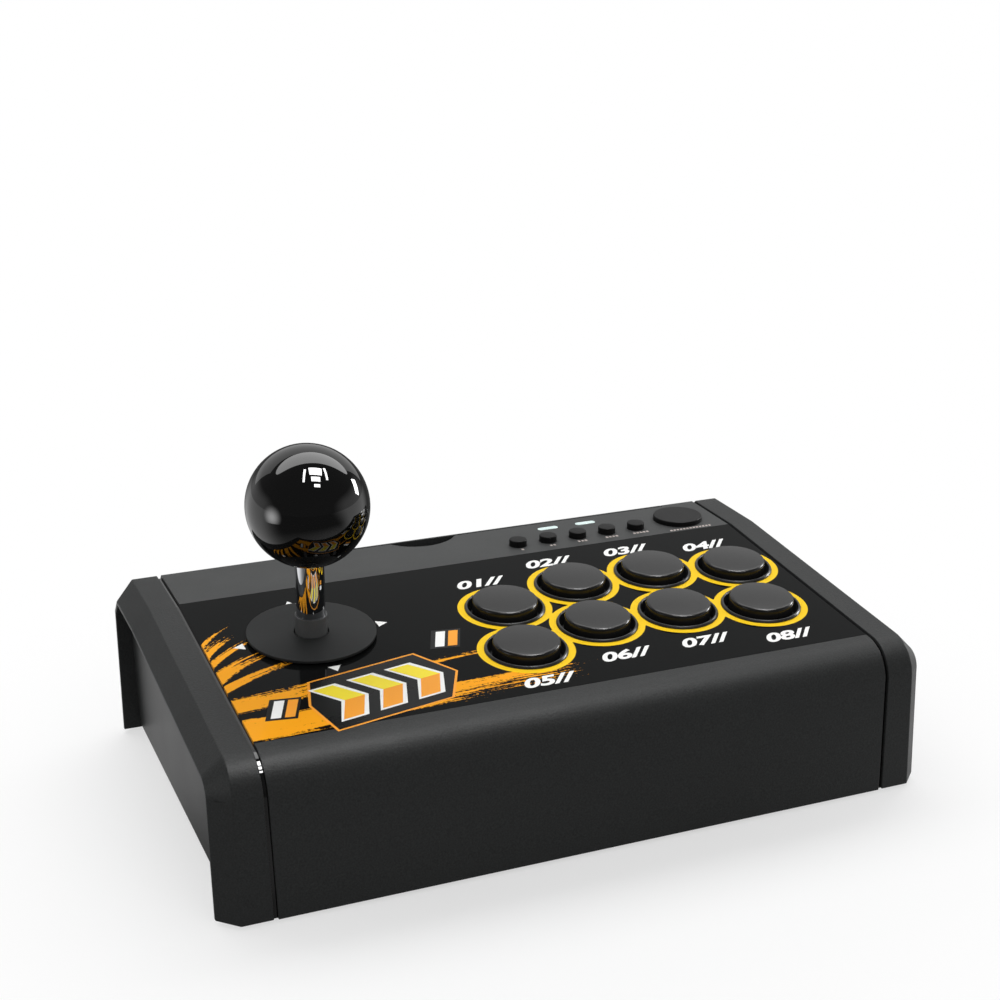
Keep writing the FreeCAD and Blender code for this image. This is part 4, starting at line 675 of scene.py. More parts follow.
def tidy_faces(piece: Piece, degrees: float) -> None:
    """Merge a piece's doubled points, turn its faces outward and keep its sharp edges.

    Args:
        piece: The piece.
        degrees: Edges that turn more than this stay sharp.
    """
    shape = bmesh.new()
    shape.from_mesh(piece.data)
    bmesh.ops.remove_doubles(shape, verts=shape.verts, dist=SEAM_WELD)
    bmesh.ops.recalc_face_normals(shape, faces=shape.faces)
    crease(shape, degrees)
    shape.to_mesh(piece.data)
    shape.free()


def swept(name: str, path: Sequence[Vector], radii: Sequence[float], count: int) -> Piece:
    """Sweep a circle of changing radius along a path, with closed ends.

    Args:
        name: The piece's name.
        path: Points in metres.
        radii: The radius at each point.
        count: Facets round the path.

    Returns:
        The new piece.
    """
    shape = bmesh.new()
    side = (path[1] - path[0]).cross(UP).normalized()
    rings = []
    for i, (spot, radius) in enumerate(zip(path, radii)):
        ahead = (path[min(i + 1, len(path) - 1)] - path[max(i - 1, 0)]).normalized()
        side = (side - ahead * side.dot(ahead)).normalized()
        up = ahead.cross(side)
        ring = [spot + (side * c + up * s) * radius * MM for c, s in circle(count)]
        rings.append([shape.verts.new(point) for point in ring])
    join_rings(shape, rings, count)
    for ring in (rings[0], rings[-1]):
        shape.faces.new(ring)
    piece = poured(name, shape)
    tidy_faces(piece, TURNED_CREASE)
    return piece


def flat_print(name: str, outlines: Sequence[Line], place: Matrix) -> Piece:
    """Lay flat shapes of ink on a plane.

    Args:
        name: The piece's name.
        outlines: The corners of each shape.
        place: The plane's frame, with Z as its normal.

    Returns:
        The new piece, facing along the normal.
    """
    shape = bmesh.new()
    for corners in outlines:
        face = shape.faces.new([shape.verts.new((x * MM, y * MM, 0)) for x, y in corners])
        face.normal_update()
        if face.normal.z < 0:
            face.normal_flip()
    bmesh.ops.triangulate(shape, faces=shape.faces)
    bmesh.ops.transform(shape, matrix=place, verts=shape.verts)
    return poured(name, shape)


def growth(name: str, **inputs: str) -> tuple[Tree, Any]:
    """Start a Geometry Nodes tree.

    Args:
        name: The tree's name.
        inputs: What each input after the geometry holds, by its name.

    Returns:
        The tree, and the sockets that give its inputs.
    """
    sockets = {"Geometry": "Geometry", **inputs}
    tree = new_group(name, "GeometryNodeTree", sockets, ("Geometry", "Geometry"))
    return tree, add_node(tree, "NodeGroupInput").outputs


def finish_growth(tree: Tree, shape: Node, finish: Socket) -> Tree:
    """End a Geometry Nodes tree: real geometry in its finish.

    Args:
        tree: The tree.
        shape: What it has made.
        finish: The socket that gives the material.

    Returns:
        The same tree.
    """
    real = add_node(tree, "RealizeInstances", shape)
    coated = add_node(tree, "SetMaterial", {"Geometry": real, "Material": finish})
    add_node(tree, "NodeGroupOutput", coated)
    return tree


def grown(name: str, spots: Sequence[Vector], tree: Tree, layers: dict, **inputs: Any) -> Piece:
    """Run a Geometry Nodes tree over points and keep the result as plain mesh.

    Args:
        name: The piece's name.
        spots: The points in metres.
        tree: The tree.
        layers: Vectors that the points carry, by name.
        inputs: The tree's inputs by name.

    Returns:
        The new piece.
    """
    mesh = bpy.data.meshes.new(name)
    mesh.from_pydata(spots, [], [])
    for label, values in layers.items():
        layer = mesh.attributes.new(label, "FLOAT_VECTOR", "POINT")
        layer.data.foreach_set("vector", [c for value in values for c in value])
    piece = link(name, mesh)
    modifier = piece.modifiers.new("growth", "NODES")
    modifier.node_group = tree
    for item in tree.interface.items_tree:
        if item.in_out == "INPUT" and item.name in inputs:
            modifier[item.identifier] = inputs[item.name]
    return flatten(piece)


# ------- studio


class Purpose(Enum):
    """What a lamp is for; the value names the rays that don't see it."""

    LIGHT = ("visible_glossy",)
    SHINE = ("visible_diffuse", "visible_camera")
    GLINT = ("visible_diffuse",)


@dataclass(frozen=True)
class Lamp:
    """An area lamp that faces the object; its places and sizes are in metres."""

    name: str
    place: Sequence[float]
    size: Point
    radiance: float
    purpose: Purpose
    outline: str = "RECTANGLE"
    across: Sequence[float] = (1.0, 0.0, 0.0)
    soft: bool = False
    aim: float = 0.04

    def hang(self) -> None:
        """Hang the lamp."""
        data = bpy.data.lights.new(self.name, "AREA")
        data.shape = self.outline
        data.size, data.size_y = self.size
        data.energy = self.radiance * math.pi * self.size[0] * self.size[1]
        if self.soft:
            self.fade(data)
        lamp = link(self.name, data)
        place, across = Vector(self.place), Vector(self.across)
        out = place.normalized()
        side = (across - out * across.dot(out)).normalized()
        lamp.matrix_world = stand(place + UP * self.aim, side, out.cross(side), out)
        for ray in self.purpose.value:
            setattr(lamp, ray, False)

    def fade(self, data: bpy.types.Light) -> None:
        """Let the lamp's face fade from its middle to its edge.

        Args:
            data: The lamp's light.
        """
        data.use_nodes = True
        add = partial(add_node, data.node_tree)
        spot = add("NewGeometry").outputs["Parametric"]
        away = add("VectorMath.DISTANCE", spot, (0.5, 0.5, 0))
        level = add("MapRange", away, 0.0, 0.5, 1.0, 0.0, interpolation_type=SMOOTH)
        glow = next(node for node in data.node_tree.nodes if node.type == "EMISSION")
        data.node_tree.links.new(level.outputs[0], glow.inputs["Strength"])


@dataclass
class Studio:
    """The camera, the pale floor and the soft lamps."""

    turn: float = -23.0345
    rise: float = 25.2944
    roll: float = 0.2042
    distance: float = 519.81
    target: Trio = (0.0, -13.435, 26.0)
    lens: float = 61.53
    sensor: float = 36.0
    shift: Point = (-0.0249, 0.1952)
    clip: Point = (0.01, 50.0)
    paper: str = "#f4f4f4"
    paper_out_of_sight: str = "#a0a0a0"
    floor_side: float = 14.0
    floor_drop: float = 0.0002
    fade_out: Point = (0.08, 0.24)  # from where to where the floor turns to plain white
    shadow: float = 0.55  # share of plain white within that
    ambient: float = 0.5
    room: float = 0.12  # how white the ceiling mirrors
    wall: float = 0.6
    wall_top: Point = (0.1, 0.45)
    card: float = 0.1  # how white the two dark cards mirror
    front_card: Point = (0.1, 0.7)  # from where to where it fades in, 1 being straight ahead
    rear_card: Point = (-0.55, -0.9)
    # Spot on the ball, right and up in shares of its radius, and size of each glint's lamp.
    glints: Sequence[tuple[Point, Point]] = (
        ((0.15, 0.50), (0.34, 0.26)), ((0.17, 0.375), (0.26, 0.16)), ((0.20, 0.27), (0.18, 0.1)),
        ((-0.01, 0.42), (0.06, 0.46)), ((0.31, 0.47), (0.06, 0.40)), ((0.75, 0.36), (0.16, 0.3)),
    )
    glint_radiance: float = 28.0
    nudge: float = 0.01  # the step on the ball that gives a glint's direction across

    def axes(self) -> tuple[Vector, Vector, Vector]:
        """Return the camera's right, up and backward directions."""
        a, e = math.radians(self.turn), math.radians(self.rise)
        back = Vector((math.sin(a) * math.cos(e), -math.cos(a) * math.cos(e), math.sin(e)))
        right = UP.cross(back).normalized()
        return right, back.cross(right), back

    def camera(self) -> None:
        """Place the camera."""
        data = bpy.data.cameras.new("camera")
        data.lens = self.lens
        data.sensor_width = self.sensor
        data.shift_x, data.shift_y = self.shift
        data.clip_start, data.clip_end = self.clip
        camera = link("camera", data)
        right, up, back = self.axes()
        place = (Vector(self.target) + back * self.distance) * MM
        roll = Matrix.Rotation(math.radians(self.roll), 4, "Z")
        camera.matrix_world = stand(place, right, up, back) @ roll
        bpy.context.scene.camera = camera

    def seen(self, tree: Tree) -> Node:
        """Return 1 for what the eye sees directly, mirrored or through glass, else 0."""
        path = add_node(tree, "LightPath").outputs
        ways = [path[f"Is {way} Ray"] for way in ("Camera", "Glossy", "Transmission")]
        direct = add_node(tree, "Math.MAXIMUM", ways[0], ways[1])
        return add_node(tree, "Math.MAXIMUM", direct, ways[2])

    def level(self, tree: Tree, way: Socket) -> Node:
        """Return how white the surroundings are.

        They are full to the eye, and a mirror sees dark cards ahead and behind.

        Args:
            tree: Where the nodes go.
            way: A place or a direction seen from the object.

        Returns:
            The level.
        """
        add = partial(add_node, tree)
        ahead = (self.axes()[2] * Vector((1, 1, 0))).normalized()
        flat = add("VectorMath.MULTIPLY", way, (1, 1, 0))
        unit = add("VectorMath.NORMALIZE", flat)
        facing = add("VectorMath.DOT_PRODUCT", unit, ahead)
        front, rear = [
            add("MapRange", facing, *ends, 1.0, self.card, interpolation_type=SMOOTH)
            for ends in (self.front_card, self.rear_card)
        ]
        darker = add("Math.MINIMUM", front, rear)
        eye = add("LightPath").outputs["Is Camera Ray"]
        return add("Math.MAXIMUM", darker, eye)

    def floor(self) -> None:
        """Lay the pale floor: it keeps the shadow near the object and is white further out."""
        shape = bmesh.new()
        bmesh.ops.create_grid(shape, x_segments=8, y_segments=8, size=self.floor_side / 2)
        floor = poured("floor", shape)
        floor.location.z = -self.floor_drop
        paper = bpy.data.materials.new("studio_paper_white")
        tree = cleared(paper)
        add = partial(add_node, tree)
        place = add("TexCoord").outputs["Object"]
        away = add("VectorMath.LENGTH", place)
        far = add("MapRange", away, *self.fade_out, self.shadow, 1.0, interpolation_type=SMOOTH)
        near = add("BsdfDiffuse", linear(self.paper))
        white = add("Emission", linear(WHITE), self.level(tree, place))
        shown = add("MixShader", far, near, white)
        dim = add("BsdfDiffuse", linear(self.paper_out_of_sight))
        mix = add("MixShader", self.seen(tree), dim, shown)
        add("OutputMaterial", mix)
        floor.data.materials.append(paper)

    def world(self) -> None:
        """Light the scene evenly; a white wall stands round the horizon, under a dim ceiling."""
        world = bpy.data.worlds.new("studio")
        bpy.context.scene.world = world
        tree = cleared(world)
        add = partial(add_node, tree)
        way = add("TexCoord").outputs["Generated"]
        height = add("SeparateXYZ", way).outputs["Z"]
        wall = add("MapRange", height, *self.wall_top, self.wall, 0.0, interpolation_type=SMOOTH)
        walled = add("Math.MULTIPLY", wall, self.level(tree, way))
        level = add("Math.MAXIMUM", walled, self.room)
        eye = add("LightPath").outputs["Is Camera Ray"]
        level = add("Math.MAXIMUM", level, eye)
        white, ambient = [
            add("Background", linear(WHITE), value) for value in (level, self.ambient)
        ]
        add("OutputWorld", add("MixShader", self.seen(tree), ambient, white))

    def mirrored(self, x: float, y: float) -> Vector:
        """Return the direction that one spot of the ball mirrors to the camera.

        Args:
            x: The spot, right of the ball's middle in shares of its radius.
            y: The spot, up from the ball's middle.

        Returns:
            The direction from the ball.
        """
        right, up, back = self.axes()
        normal = right * x + up * y + back * math.sqrt(1 - x * x - y * y)
        return normal * (2 * normal.dot(back)) - back

    def glint(self, name: str, spot: Point, size: Point, radiance: float, **lamp: Any) -> None:
        """Hang a small lamp whose mirror image falls on one spot of the ball.

        Args:
            name: Its name.
            spot: The spot, right and up from the ball's middle, in shares of its radius.
            size: The lamp's width and height in metres.
            radiance: How bright its face is.
            lamp: Its distance from the ball in metres, and settings of the lamp.
        """
        way = self.mirrored(*spot)
        across = self.mirrored(spot[0] + self.nudge, spot[1]) - way
        place = way * lamp.pop("distance", 1.0) + middle_of("ball_top") - UP * Lamp.aim
        Lamp(name, place, size, radiance, Purpose.GLINT, across=across, **lamp).hang()

    def build(self) -> None:
        """Make the whole studio."""
        self.camera()
        self.floor()
        self.world()
        # Two lamps only make gloss: a bright cap high up and a fainter wall of light below it.
        for lamp in (
            Lamp("rear_softbox", (0.2, 0.6, 0.95), (2.5, 0.6), 2.7, Purpose.LIGHT, "ELLIPSE"),
            Lamp("high_shine", (0.2, 0.47, 1.03), (2.5, 0.6), 2.7, Purpose.SHINE, "ELLIPSE"),
            Lamp("rear_wall", (0.2, 1.03, 0.6), (2.6, 0.9), 0.72, Purpose.SHINE),
            Lamp("front_fill", (0.3, -1.25, 0.8), (0.8, 0.6), 1.6, Purpose.LIGHT),
        ):
            lamp.hang()
        for i, (spot, size) in enumerate(self.glints):
            self.glint(f"pane_{i}", spot, size, self.glint_radiance)
        self.glint("low_glow", (-0.5, -0.2), (0.22, 0.2), 5.0, distance=0.3, soft=True)
        bpy.context.scene.view_settings.view_transform = "Standard"


# ------- cable


@dataclass
class CableLead:
    """The USB cable, its thicker sleeve and its plug."""

    # Control points of the cable's line.
    route: Sequence[Trio] = (
        (72.3, 49.2, 15.0), (72.3, 56.0, 15.0), (74.6, 63.4, 13.4), (84.8, 75.2, 12.0),
        (92.6, 86.4, 7.6), (97.2, 97.8, 4.0), (99.0, 106.2, 4.0),
    )
    diameter: float = 4.0
    length: float = 65.8
    sleeve_start: float = 5.0
    sleeve_length: float = 31.0
    sleeve_radii: Point = (3.0, 2.35)
    sleeve_ring: float = 2.75
    ring_span: Point = (0.93, 0.985)  # in shares of the sleeve's length
    sleeve_inset: float = 0.2  # how far its ends are inside the cable's surface
    grip_edge: float = 0.35
    shell_edge: float = 0.12
    facets: int = 32

    def line(self, thick: bool) -> Piece:
        """Make the cable's smooth line.

        Args:
            thick: Whether it has its thickness.

        Returns:
            The curve.
        """
        data = bpy.data.curves.new("usb_lead", "CURVE")
        data.dimensions = "3D"
        line = data.splines.new("NURBS")
        line.points.add(len(self.route) - 1)
        for point, place in zip(line.points, self.route):
            point.co = (*[c * MM for c in place], 1)
        line.order_u = 3
        line.use_endpoint_u = True
        line.resolution_u = 16
        data.bevel_depth = self.diameter / 2 * MM if thick else 0.0
        data.bevel_resolution = 6
        data.use_fill_caps = thick
        return link("usb_lead", data)

    def sleeve(self) -> Piece:
        """Make the tapered strain relief that ends in a small ring.

        Returns:
            The new piece.
        """
        thin = self.line(thick=False)
        spots = [v.co.copy() for v in as_mesh(thin).vertices]
        bpy.data.objects.remove(thin)
        path, radii, run = [], [], 0.0
        first, last = self.sleeve_radii
        for before, spot in zip(spots, spots[1:]):
            run += (spot - before).length / MM
            share = (run - self.sleeve_start) / self.sleeve_length
            if 0 <= share <= 1:
                path.append(spot)
                ringed = self.ring_span[0] < share < self.ring_span[1]
                radii.append(self.sleeve_ring if ringed else first + (last - first) * share)
        radii[0] = radii[-1] = self.diameter / 2 - self.sleeve_inset
        return swept("cable_sleeve", path, radii, self.facets)

    def build(self) -> None:
        """Make the cable and dress its plug."""
        lead = settle(self.line(thick=True), "case", "cable_jacket", JACKET, "usb_cable")
        sleeve = settle(self.sleeve(), "case", "cable_jacket", PLUG_PVC)
        grip = moulded("usb_plug_grip", self.grip_edge, "case", "cable_jacket", PLUG_PVC)
        shell = moulded("usb_plug_shell", self.shell_edge, "case", "steel", SHEET_STEEL)
        dress(TONGUE, "usb_plug_tongue")
        dress(PLUG_PVC, "cable_gland")


# ------- case


@dataclass
class CaseShell:
    """The moulded case: housing, strip, base, end caps, side panels, trims and feet."""

    mouldings: Sequence[tuple[str, float, str, Finish]] = (
        ("top_case", 0.3, "case_plastic", CASE_ABS),
        ("control_strip", 0.2, "strip_plastic", STRIP_ABS),
        ("bottom_cover", 0.25, "case_plastic", CASE_ABS),
    )
    cap_edge: float = 0.3
    panel_edge: float = 0.2
    foot_edge: float = 0.3

    def build(self) -> None:
        """Soften and dress each moulding."""
        for node, edge, slot, finish in self.mouldings:
            moulded(node, edge, "case", slot, finish)
        for side in ("left", "right"):
            moulded(f"{side}_end_cap", self.cap_edge, "case", "case_plastic", CASE_ABS)
            moulded(f"{side}_side_panel", self.panel_edge, "case", "side_plastic", SIDE_ABS)
            dress(TRIM_GLOSS, f"{side}_trim")
        moulded("rubber_feet", self.foot_edge, "case", "rubber", RUBBER)
        dress(CASE_ABS, "cable_compartment")


@dataclass
class Fasteners:
    """Cross-head screws of the base, the joystick's plate and the strip's board."""

    posts: tuple[Sequence[float], Sequence[float]] = ((-84.0, 0.0, 84.0), (-54.0, 28.0))
    base_level: float = 1.0
    plate_reach: Point = (26.0, 18.0)
    plate_drop: float = 10.1
    board_places: Line = ((25.4, 46.6), (62.85, 46.6))
    board_level: float = 43.75
    # Radius and height of the two kinds of head and of the three kinds of shank.
    heads: Line = ((2.6, 1.5), (1.8, 0.6))
    shanks: Line = ((1.3, 12.4), (1.3, 6.6), (0.9, 4.8))
    cross: Trio = (1.15, 0.2, 0.9)  # length, width and depth, in shares of the head
    facets: int = 28
    board_turn: float = 0.5

    def tree(self) -> Tree:
        """Build the tree that puts a cross-head screw on each point.

        Returns:
            The tree; the points carry each screw's "head" and "shank" sizes and its "turn".
        """
        tree, given = growth("cross_head_screws", Finish="Material", Facets="Int")
        add = partial(add_node, tree)
        disc = add("MeshCylinder", {"Vertices": given["Facets"], "Radius": 1.0, "Depth": 1.0})
        cross, screws = [add("JoinGeometry") for _ in range(2)]
        length, width, depth = self.cross
        for size in ((length, width, depth), (width, length, depth)):
            tree.links.new(add("MeshCube", size).outputs[0], cross.inputs[0])
        low = add("Transform", {0: cross, "Translation": (0, 0, -0.5)})
        cut = add("MeshBoolean.DIFFERENCE", disc, low)
        for shape, size in ((cut, "head"), (disc, "shank")):
            scale, turn = [
                add("InputNamedAttribute", label, data_type="FLOAT_VECTOR")
                for label in (size, "turn")
            ]
            raised = add("Transform", {0: shape, "Translation": (0, 0, 0.5)})
            put = {"Points": given["Geometry"], "Instance": raised}
            placed = add("InstanceOnPoints", {**put, "Rotation": turn, "Scale": scale})
            tree.links.new(placed.outputs[0], screws.inputs[0])
        return finish_growth(tree, screws, given["Finish"])

    def build(self) -> None:
        """Drive every screw."""
        tilt = Matrix.Rotation(SLOPE, 3, "X").to_euler()
        large, small = self.heads
        base, plate, board = self.shanks
        rows = []
        for y in self.posts[1]:
            for x in self.posts[0]:
                rows.append((Vector((x, y, self.base_level)) * MM, (0, 0, x), large, base))
        across, along = self.plate_reach
        for x in (-across, across):
            for v in (-along, along):
                place = PANEL.at(STICK.x + x, STICK.y + v, -self.plate_drop).translation
                rows.append((place, tuple(tilt), large, plate))
        for x, y in self.board_places:
            place = Vector((x, y, self.board_level)) * MM
            rows.append((place, (0, 0, self.board_turn), small, board))
        spots, turns, *sizes = zip(*rows)
        layers = {"turn": turns}
        for label, values in zip(("head", "shank"), sizes):
            layers[label] = [(radius * MM, radius * MM, high * MM) for radius, high in values]
        given = {"Finish": STEEL.material(), "Facets": self.facets}
        screws = grown("cross_head_screws", spots, self.tree(), layers, **given)
        settle(screws, "case", "steel", STEEL, "case_screws")


@dataclass
class RearDoor:
    """The door over the cable compartment, and its pin."""

    edge: float = 0.3

    def build(self) -> None:
        """Soften and dress the door."""
        moulded("rear_door", self.edge, "door", "case_plastic", CASE_ABS)
        dress(STEEL, "door_hinge_pin")


# ------- printed panel


@dataclass
class Faceplate:
    """The printed gloss plate: numbers, chevrons, slanted bars and pointers over its strokes."""

    places: Line = (
        (-3.8, -15.6), (22.3, -8.6), (49.9, -8.2), (76.3, -13.0),
        (-8.3, -80.0), (18.9, -73.2), (44.9, -73.0), (70.3, -78.2),
    )
    size: float = 7.0
    bold: float = 0.035
    widen: float = 1.36
    slant: float = 0.3
    badge: Point = (-52.5, -69.5)
    lean: float = 11.0
    starts: Sequence[float] = (-17.5, -5.5, 6.5)
    chevron: Trio = (6.2, 18.0, 5.2)  # width, height and point
    outline: float = 0.75
    ground: Line = ((-21, -13), (14, -13), (22.5, -1), (17, 13.5), (-16, 13.5), (-21.5, 2))
    ground_edge: Point = (1.035, 1.05)
    bar_places: Line = ((-84.0, -70.5), (-28.5, -46.5))
    bar_turn: float = -8.0
    bar_step: float = 3.8
    bar: Line = ((-1.6, -4.6), (1.2, -4.6), (3.4, 4.6), (0.6, 4.6))
    bar_ground: Line = ((-3.2, -5.6), (5.6, -5.6), (8.2, 5.6), (-0.6, 5.6))
    pointer: Trio = (23.4, 20.2, 1.9)  # reach of its tip and foot, and half its width
    pointer_turn: float = 1.5
    skin: float = 0.02

    def figures(self) -> Piece:
        """Print the buttons' numbers.

        Returns:
            The new piece.
        """
        shape = bmesh.new()
        for i, (x, v) in enumerate(self.places, start=1):
            data = bpy.data.curves.new("figure", "FONT")
            data.body = f"{i:02d}//"
            data.size = self.size * MM
            data.shear = self.slant
            data.offset = self.bold * self.size * MM
            data.align_x, data.align_y = "CENTER", "CENTER"
            data.resolution_u = 6
            text = link("figure", data)
            flat = as_mesh(text)
            flat.transform(PANEL.at(x, v, self.skin) @ Matrix.Diagonal((self.widen, 1, 1, 1)))
            shape.from_mesh(flat)
            bpy.data.objects.remove(text)
        return poured("button_numbers", shape)

    def corners(self, start: float, grow: float = 0.0) -> list[Point]:
        """Return the corners of one chevron.

        Args:
            start: Where it starts from the badge's middle.
            grow: How much larger it is all round.

        Returns:
            The corners, the lower half first.
        """
        width, high, point = self.chevron
        half, g = high / 2 + grow, grow * 1.5
        left, right = start - g, start + width + g
        notch, tip = (start + point - g, 0), (right + point, 0)
        return [(left, -half), (right, -half), tip, (right, half), (left, half), notch]

    def layers(
        self, rows: Sequence[tuple[str, Finish, Sequence]], place: Point, turn: float
    ) -> None:
        """Print layers of ink on each other.

        Args:
            rows: Name, ink and outlines of each layer, the lowest first.
            place: Their middle.
            turn: Their turn in degrees.
        """
        for level, (name, finish, outlines) in enumerate(rows, start=1):
            base = PANEL.at(*place, level * self.skin, turn)
            settle(flat_print(name, outlines, base), "case", "plate_gloss", finish)

    def badge_layers(self) -> None:
        """Print three outlined chevrons on a dark ground with an orange edge."""
        wide, high = self.ground_edge
        plain = [self.corners(start) for start in self.starts]
        rows = [
            ("badge_edge", INK_ORANGE, [[(x * wide, y * high) for x, y in self.ground]]),
            ("badge_ground", INK_BLACK, [self.ground]),
            ("badge_outline", INK_WHITE, [self.corners(x, self.outline) for x in self.starts]),
            ("badge_fill_low", INK_ORANGE, plain),
            ("badge_fill_top", INK_YELLOW, [corners[2:] for corners in plain]),
        ]
        self.layers(rows, self.badge, self.lean)

    def bars(self) -> None:
        """Print a pair of slanted bars with a dark ground at two places."""
        second = [(x + self.bar_step, y) for x, y in self.bar]
        shades = ((INK_BLACK, self.bar_ground), (INK_WHITE, self.bar), (INK_ORANGE, second))
        for i, place in enumerate(self.bar_places):
            rows = [(f"bar_{i}_{n}", ink, [line]) for n, (ink, line) in enumerate(shades, start=1)]
            self.layers(rows, place, self.bar_turn)

    def pointers(self) -> None:
        """Print the four small triangles round the joystick's washer."""
        tip, foot, half = self.pointer
        marks = []
        for turn in range(4):
            a = math.radians(90 * turn + self.pointer_turn)
            out, side = Vector((math.cos(a), math.sin(a))), Vector((-math.sin(a), math.cos(a)))
            corners = (out * tip, out * foot + side * half, out * foot - side * half)
            marks.append([tuple(STICK.xy + corner) for corner in corners])
        piece = flat_print("stick_pointers", marks, PANEL.at(0, 0, self.skin))
        settle(piece, "case", "plate_gloss", INK_WHITE)

    def build(self) -> None:
        """Print the plate."""
        dress(PLATE, "faceplate")
        settle(self.figures(), "case", "plate_gloss", INK_WHITE)
        self.badge_layers()
        self.bars()
        self.pointers()


# ------- controls


@dataclass
class MainButtons:
    """Eight snap-in buttons: a rim with a deep well, and a sprung cap in each."""

    rim: float = 12.3
    rim_height: float = 0.8
    rim_fall: Point = (0.4, 0.28)  # how far it slopes in, and from what height
    well: float = 11.3
    well_lip: Point = (0.2, 0.48)  # how far it slopes out, and from what height
    well_depth: float = 3.6
    guide: float = 10.0
    guide_low: float = 6.6
    barrel: Point = (11.1, 11.8)  # inner and outer radius
    barrel_low: float = 14.8
    rounding: float = 0.14
    cap: float = 9.9
    cap_height: float = 3.3
    cap_edge: float = 0.9
    dome: float = 0.35
    stem: float = 2.4
    wall: float = 1.6
    flange: Point = (10.6, 1.4)  # radius and height
    skirt_low: float = 8.05
    cap_facets: int = 112
    housing_facets: int = 96
    edge_steps: int = 6
    dome_steps: int = 8

    def rim_section(self) -> list[Point]:
        """Return the housing's section.

        Returns:
            The (radius, height) corners, over the rim and down the inside.
        """
        fall, shoulder = self.rim_fall
        lip, mouth = self.well_lip
        inner, outer = self.barrel
        line = [(self.rim, 0), (self.rim, shoulder), (self.rim - fall, self.rim_height)]
        line += [(self.well + lip, self.rim_height), (self.well, mouth)]
        line += [(r, -self.well_depth) for r in (self.well, self.guide)]
        line += [(r, -self.guide_low) for r in (self.guide, inner)]
        return [*line, *[(r, -self.barrel_low) for r in (inner, outer)], (outer, 0)]

    def tree(self) -> Tree:
        """Build the tree that turns the section round and sets one housing on each point.

        Returns:
            The tree.
        """
        wanted = {"Section": "Object", "Tilt": "Vector", "Facets": "Int", "Finish": "Material"}
        tree, given = growth("button_housings", **wanted)
        add = partial(add_node, tree)
        section = add("ObjectInfo", given["Section"]).outputs["Geometry"]
        circle_size = {"Resolution": given["Facets"], "Radius": TINY}
        path = add("CurvePrimitiveCircle", circle_size, mode="RADIUS")
        wrap = {"Curve": path, "Profile Curve": section, "Fill Caps": False}
        ring = add("CurveToMesh", wrap)
        put = {"Points": given["Geometry"], "Instance": ring, "Rotation": given["Tilt"]}
        return finish_growth(tree, add("InstanceOnPoints", put), given["Finish"])

    def housings(self) -> Piece:
        """Make the eight housings as one piece.

        Returns:
            The new piece.
        """
        data = bpy.data.curves.new("housing_section", "CURVE")
        data.dimensions = "3D"
        line = data.splines.new("POLY")
        corners = rounded(self.rim_section(), self.rounding, 2)
        line.points.add(len(corners) - 1)
        for point, (radius, height) in zip(line.points, corners):
            point.co = (radius * MM, -height * MM, 0, 1)
        line.use_cyclic_u = True
        section = link("housing_section", data)
        spots = [PANEL.at(b.x, b.y).translation for b in BUTTONS]
        given = {"Section": section, "Tilt": (SLOPE, 0, 0), "Facets": self.housing_facets}
        finish = RIM_ABS.material()
        piece = grown("button_housings", spots, self.tree(), {}, Finish=finish, **given)
        bpy.data.objects.remove(section)
        tidy_faces(piece, HOUSING_CREASE)
        return piece

    def cap_section(self) -> list[Point]:
        """Return the sprung cap's section, from its stem up to the dome.

        Returns:
            The (radius, height) points.
        """
        low, roof = -self.skirt_low, self.cap_height - self.wall
        inside, flat = self.cap - self.wall, self.cap - self.cap_edge
        ledge = low + self.flange[1]
        line = [(0, low), (self.stem, low), (self.stem, roof), (inside, roof), (inside, low)]
        line += [(self.flange[0], low), (self.flange[0], ledge), (self.cap, ledge)]
        for i in range(self.edge_steps + 1):
            a = math.radians(90 * i / self.edge_steps)
            high = self.cap_height - self.cap_edge * (1 - math.sin(a))
            line.append((flat + self.cap_edge * math.cos(a), high))
        for i in range(1, self.dome_steps + 1):
            share = 1 - i / self.dome_steps
            line.append((flat * share, self.cap_height + self.dome * (1 - share**2)))
        return line

    def build(self) -> None:
        """Make the housings and the caps."""
        nodes = [f"button_housing_{i}" for i in range(1, 9)]
        settle(self.housings(), "case", "rim_plastic", RIM_ABS, *nodes)
        for i, button in enumerate(BUTTONS, start=1):
            place = PANEL.at(button.x, button.y)
            cap = turned(f"button_cap_{i}", self.cap_section(), place, self.cap_facets)
            settle(cap, f"plunger_{i}", "button_plastic", PLUNGER_POM, f"button_plunger_{i}")
        dress(BOARD, "button_board")
        dress(SWITCH_PBT, "button_switches")


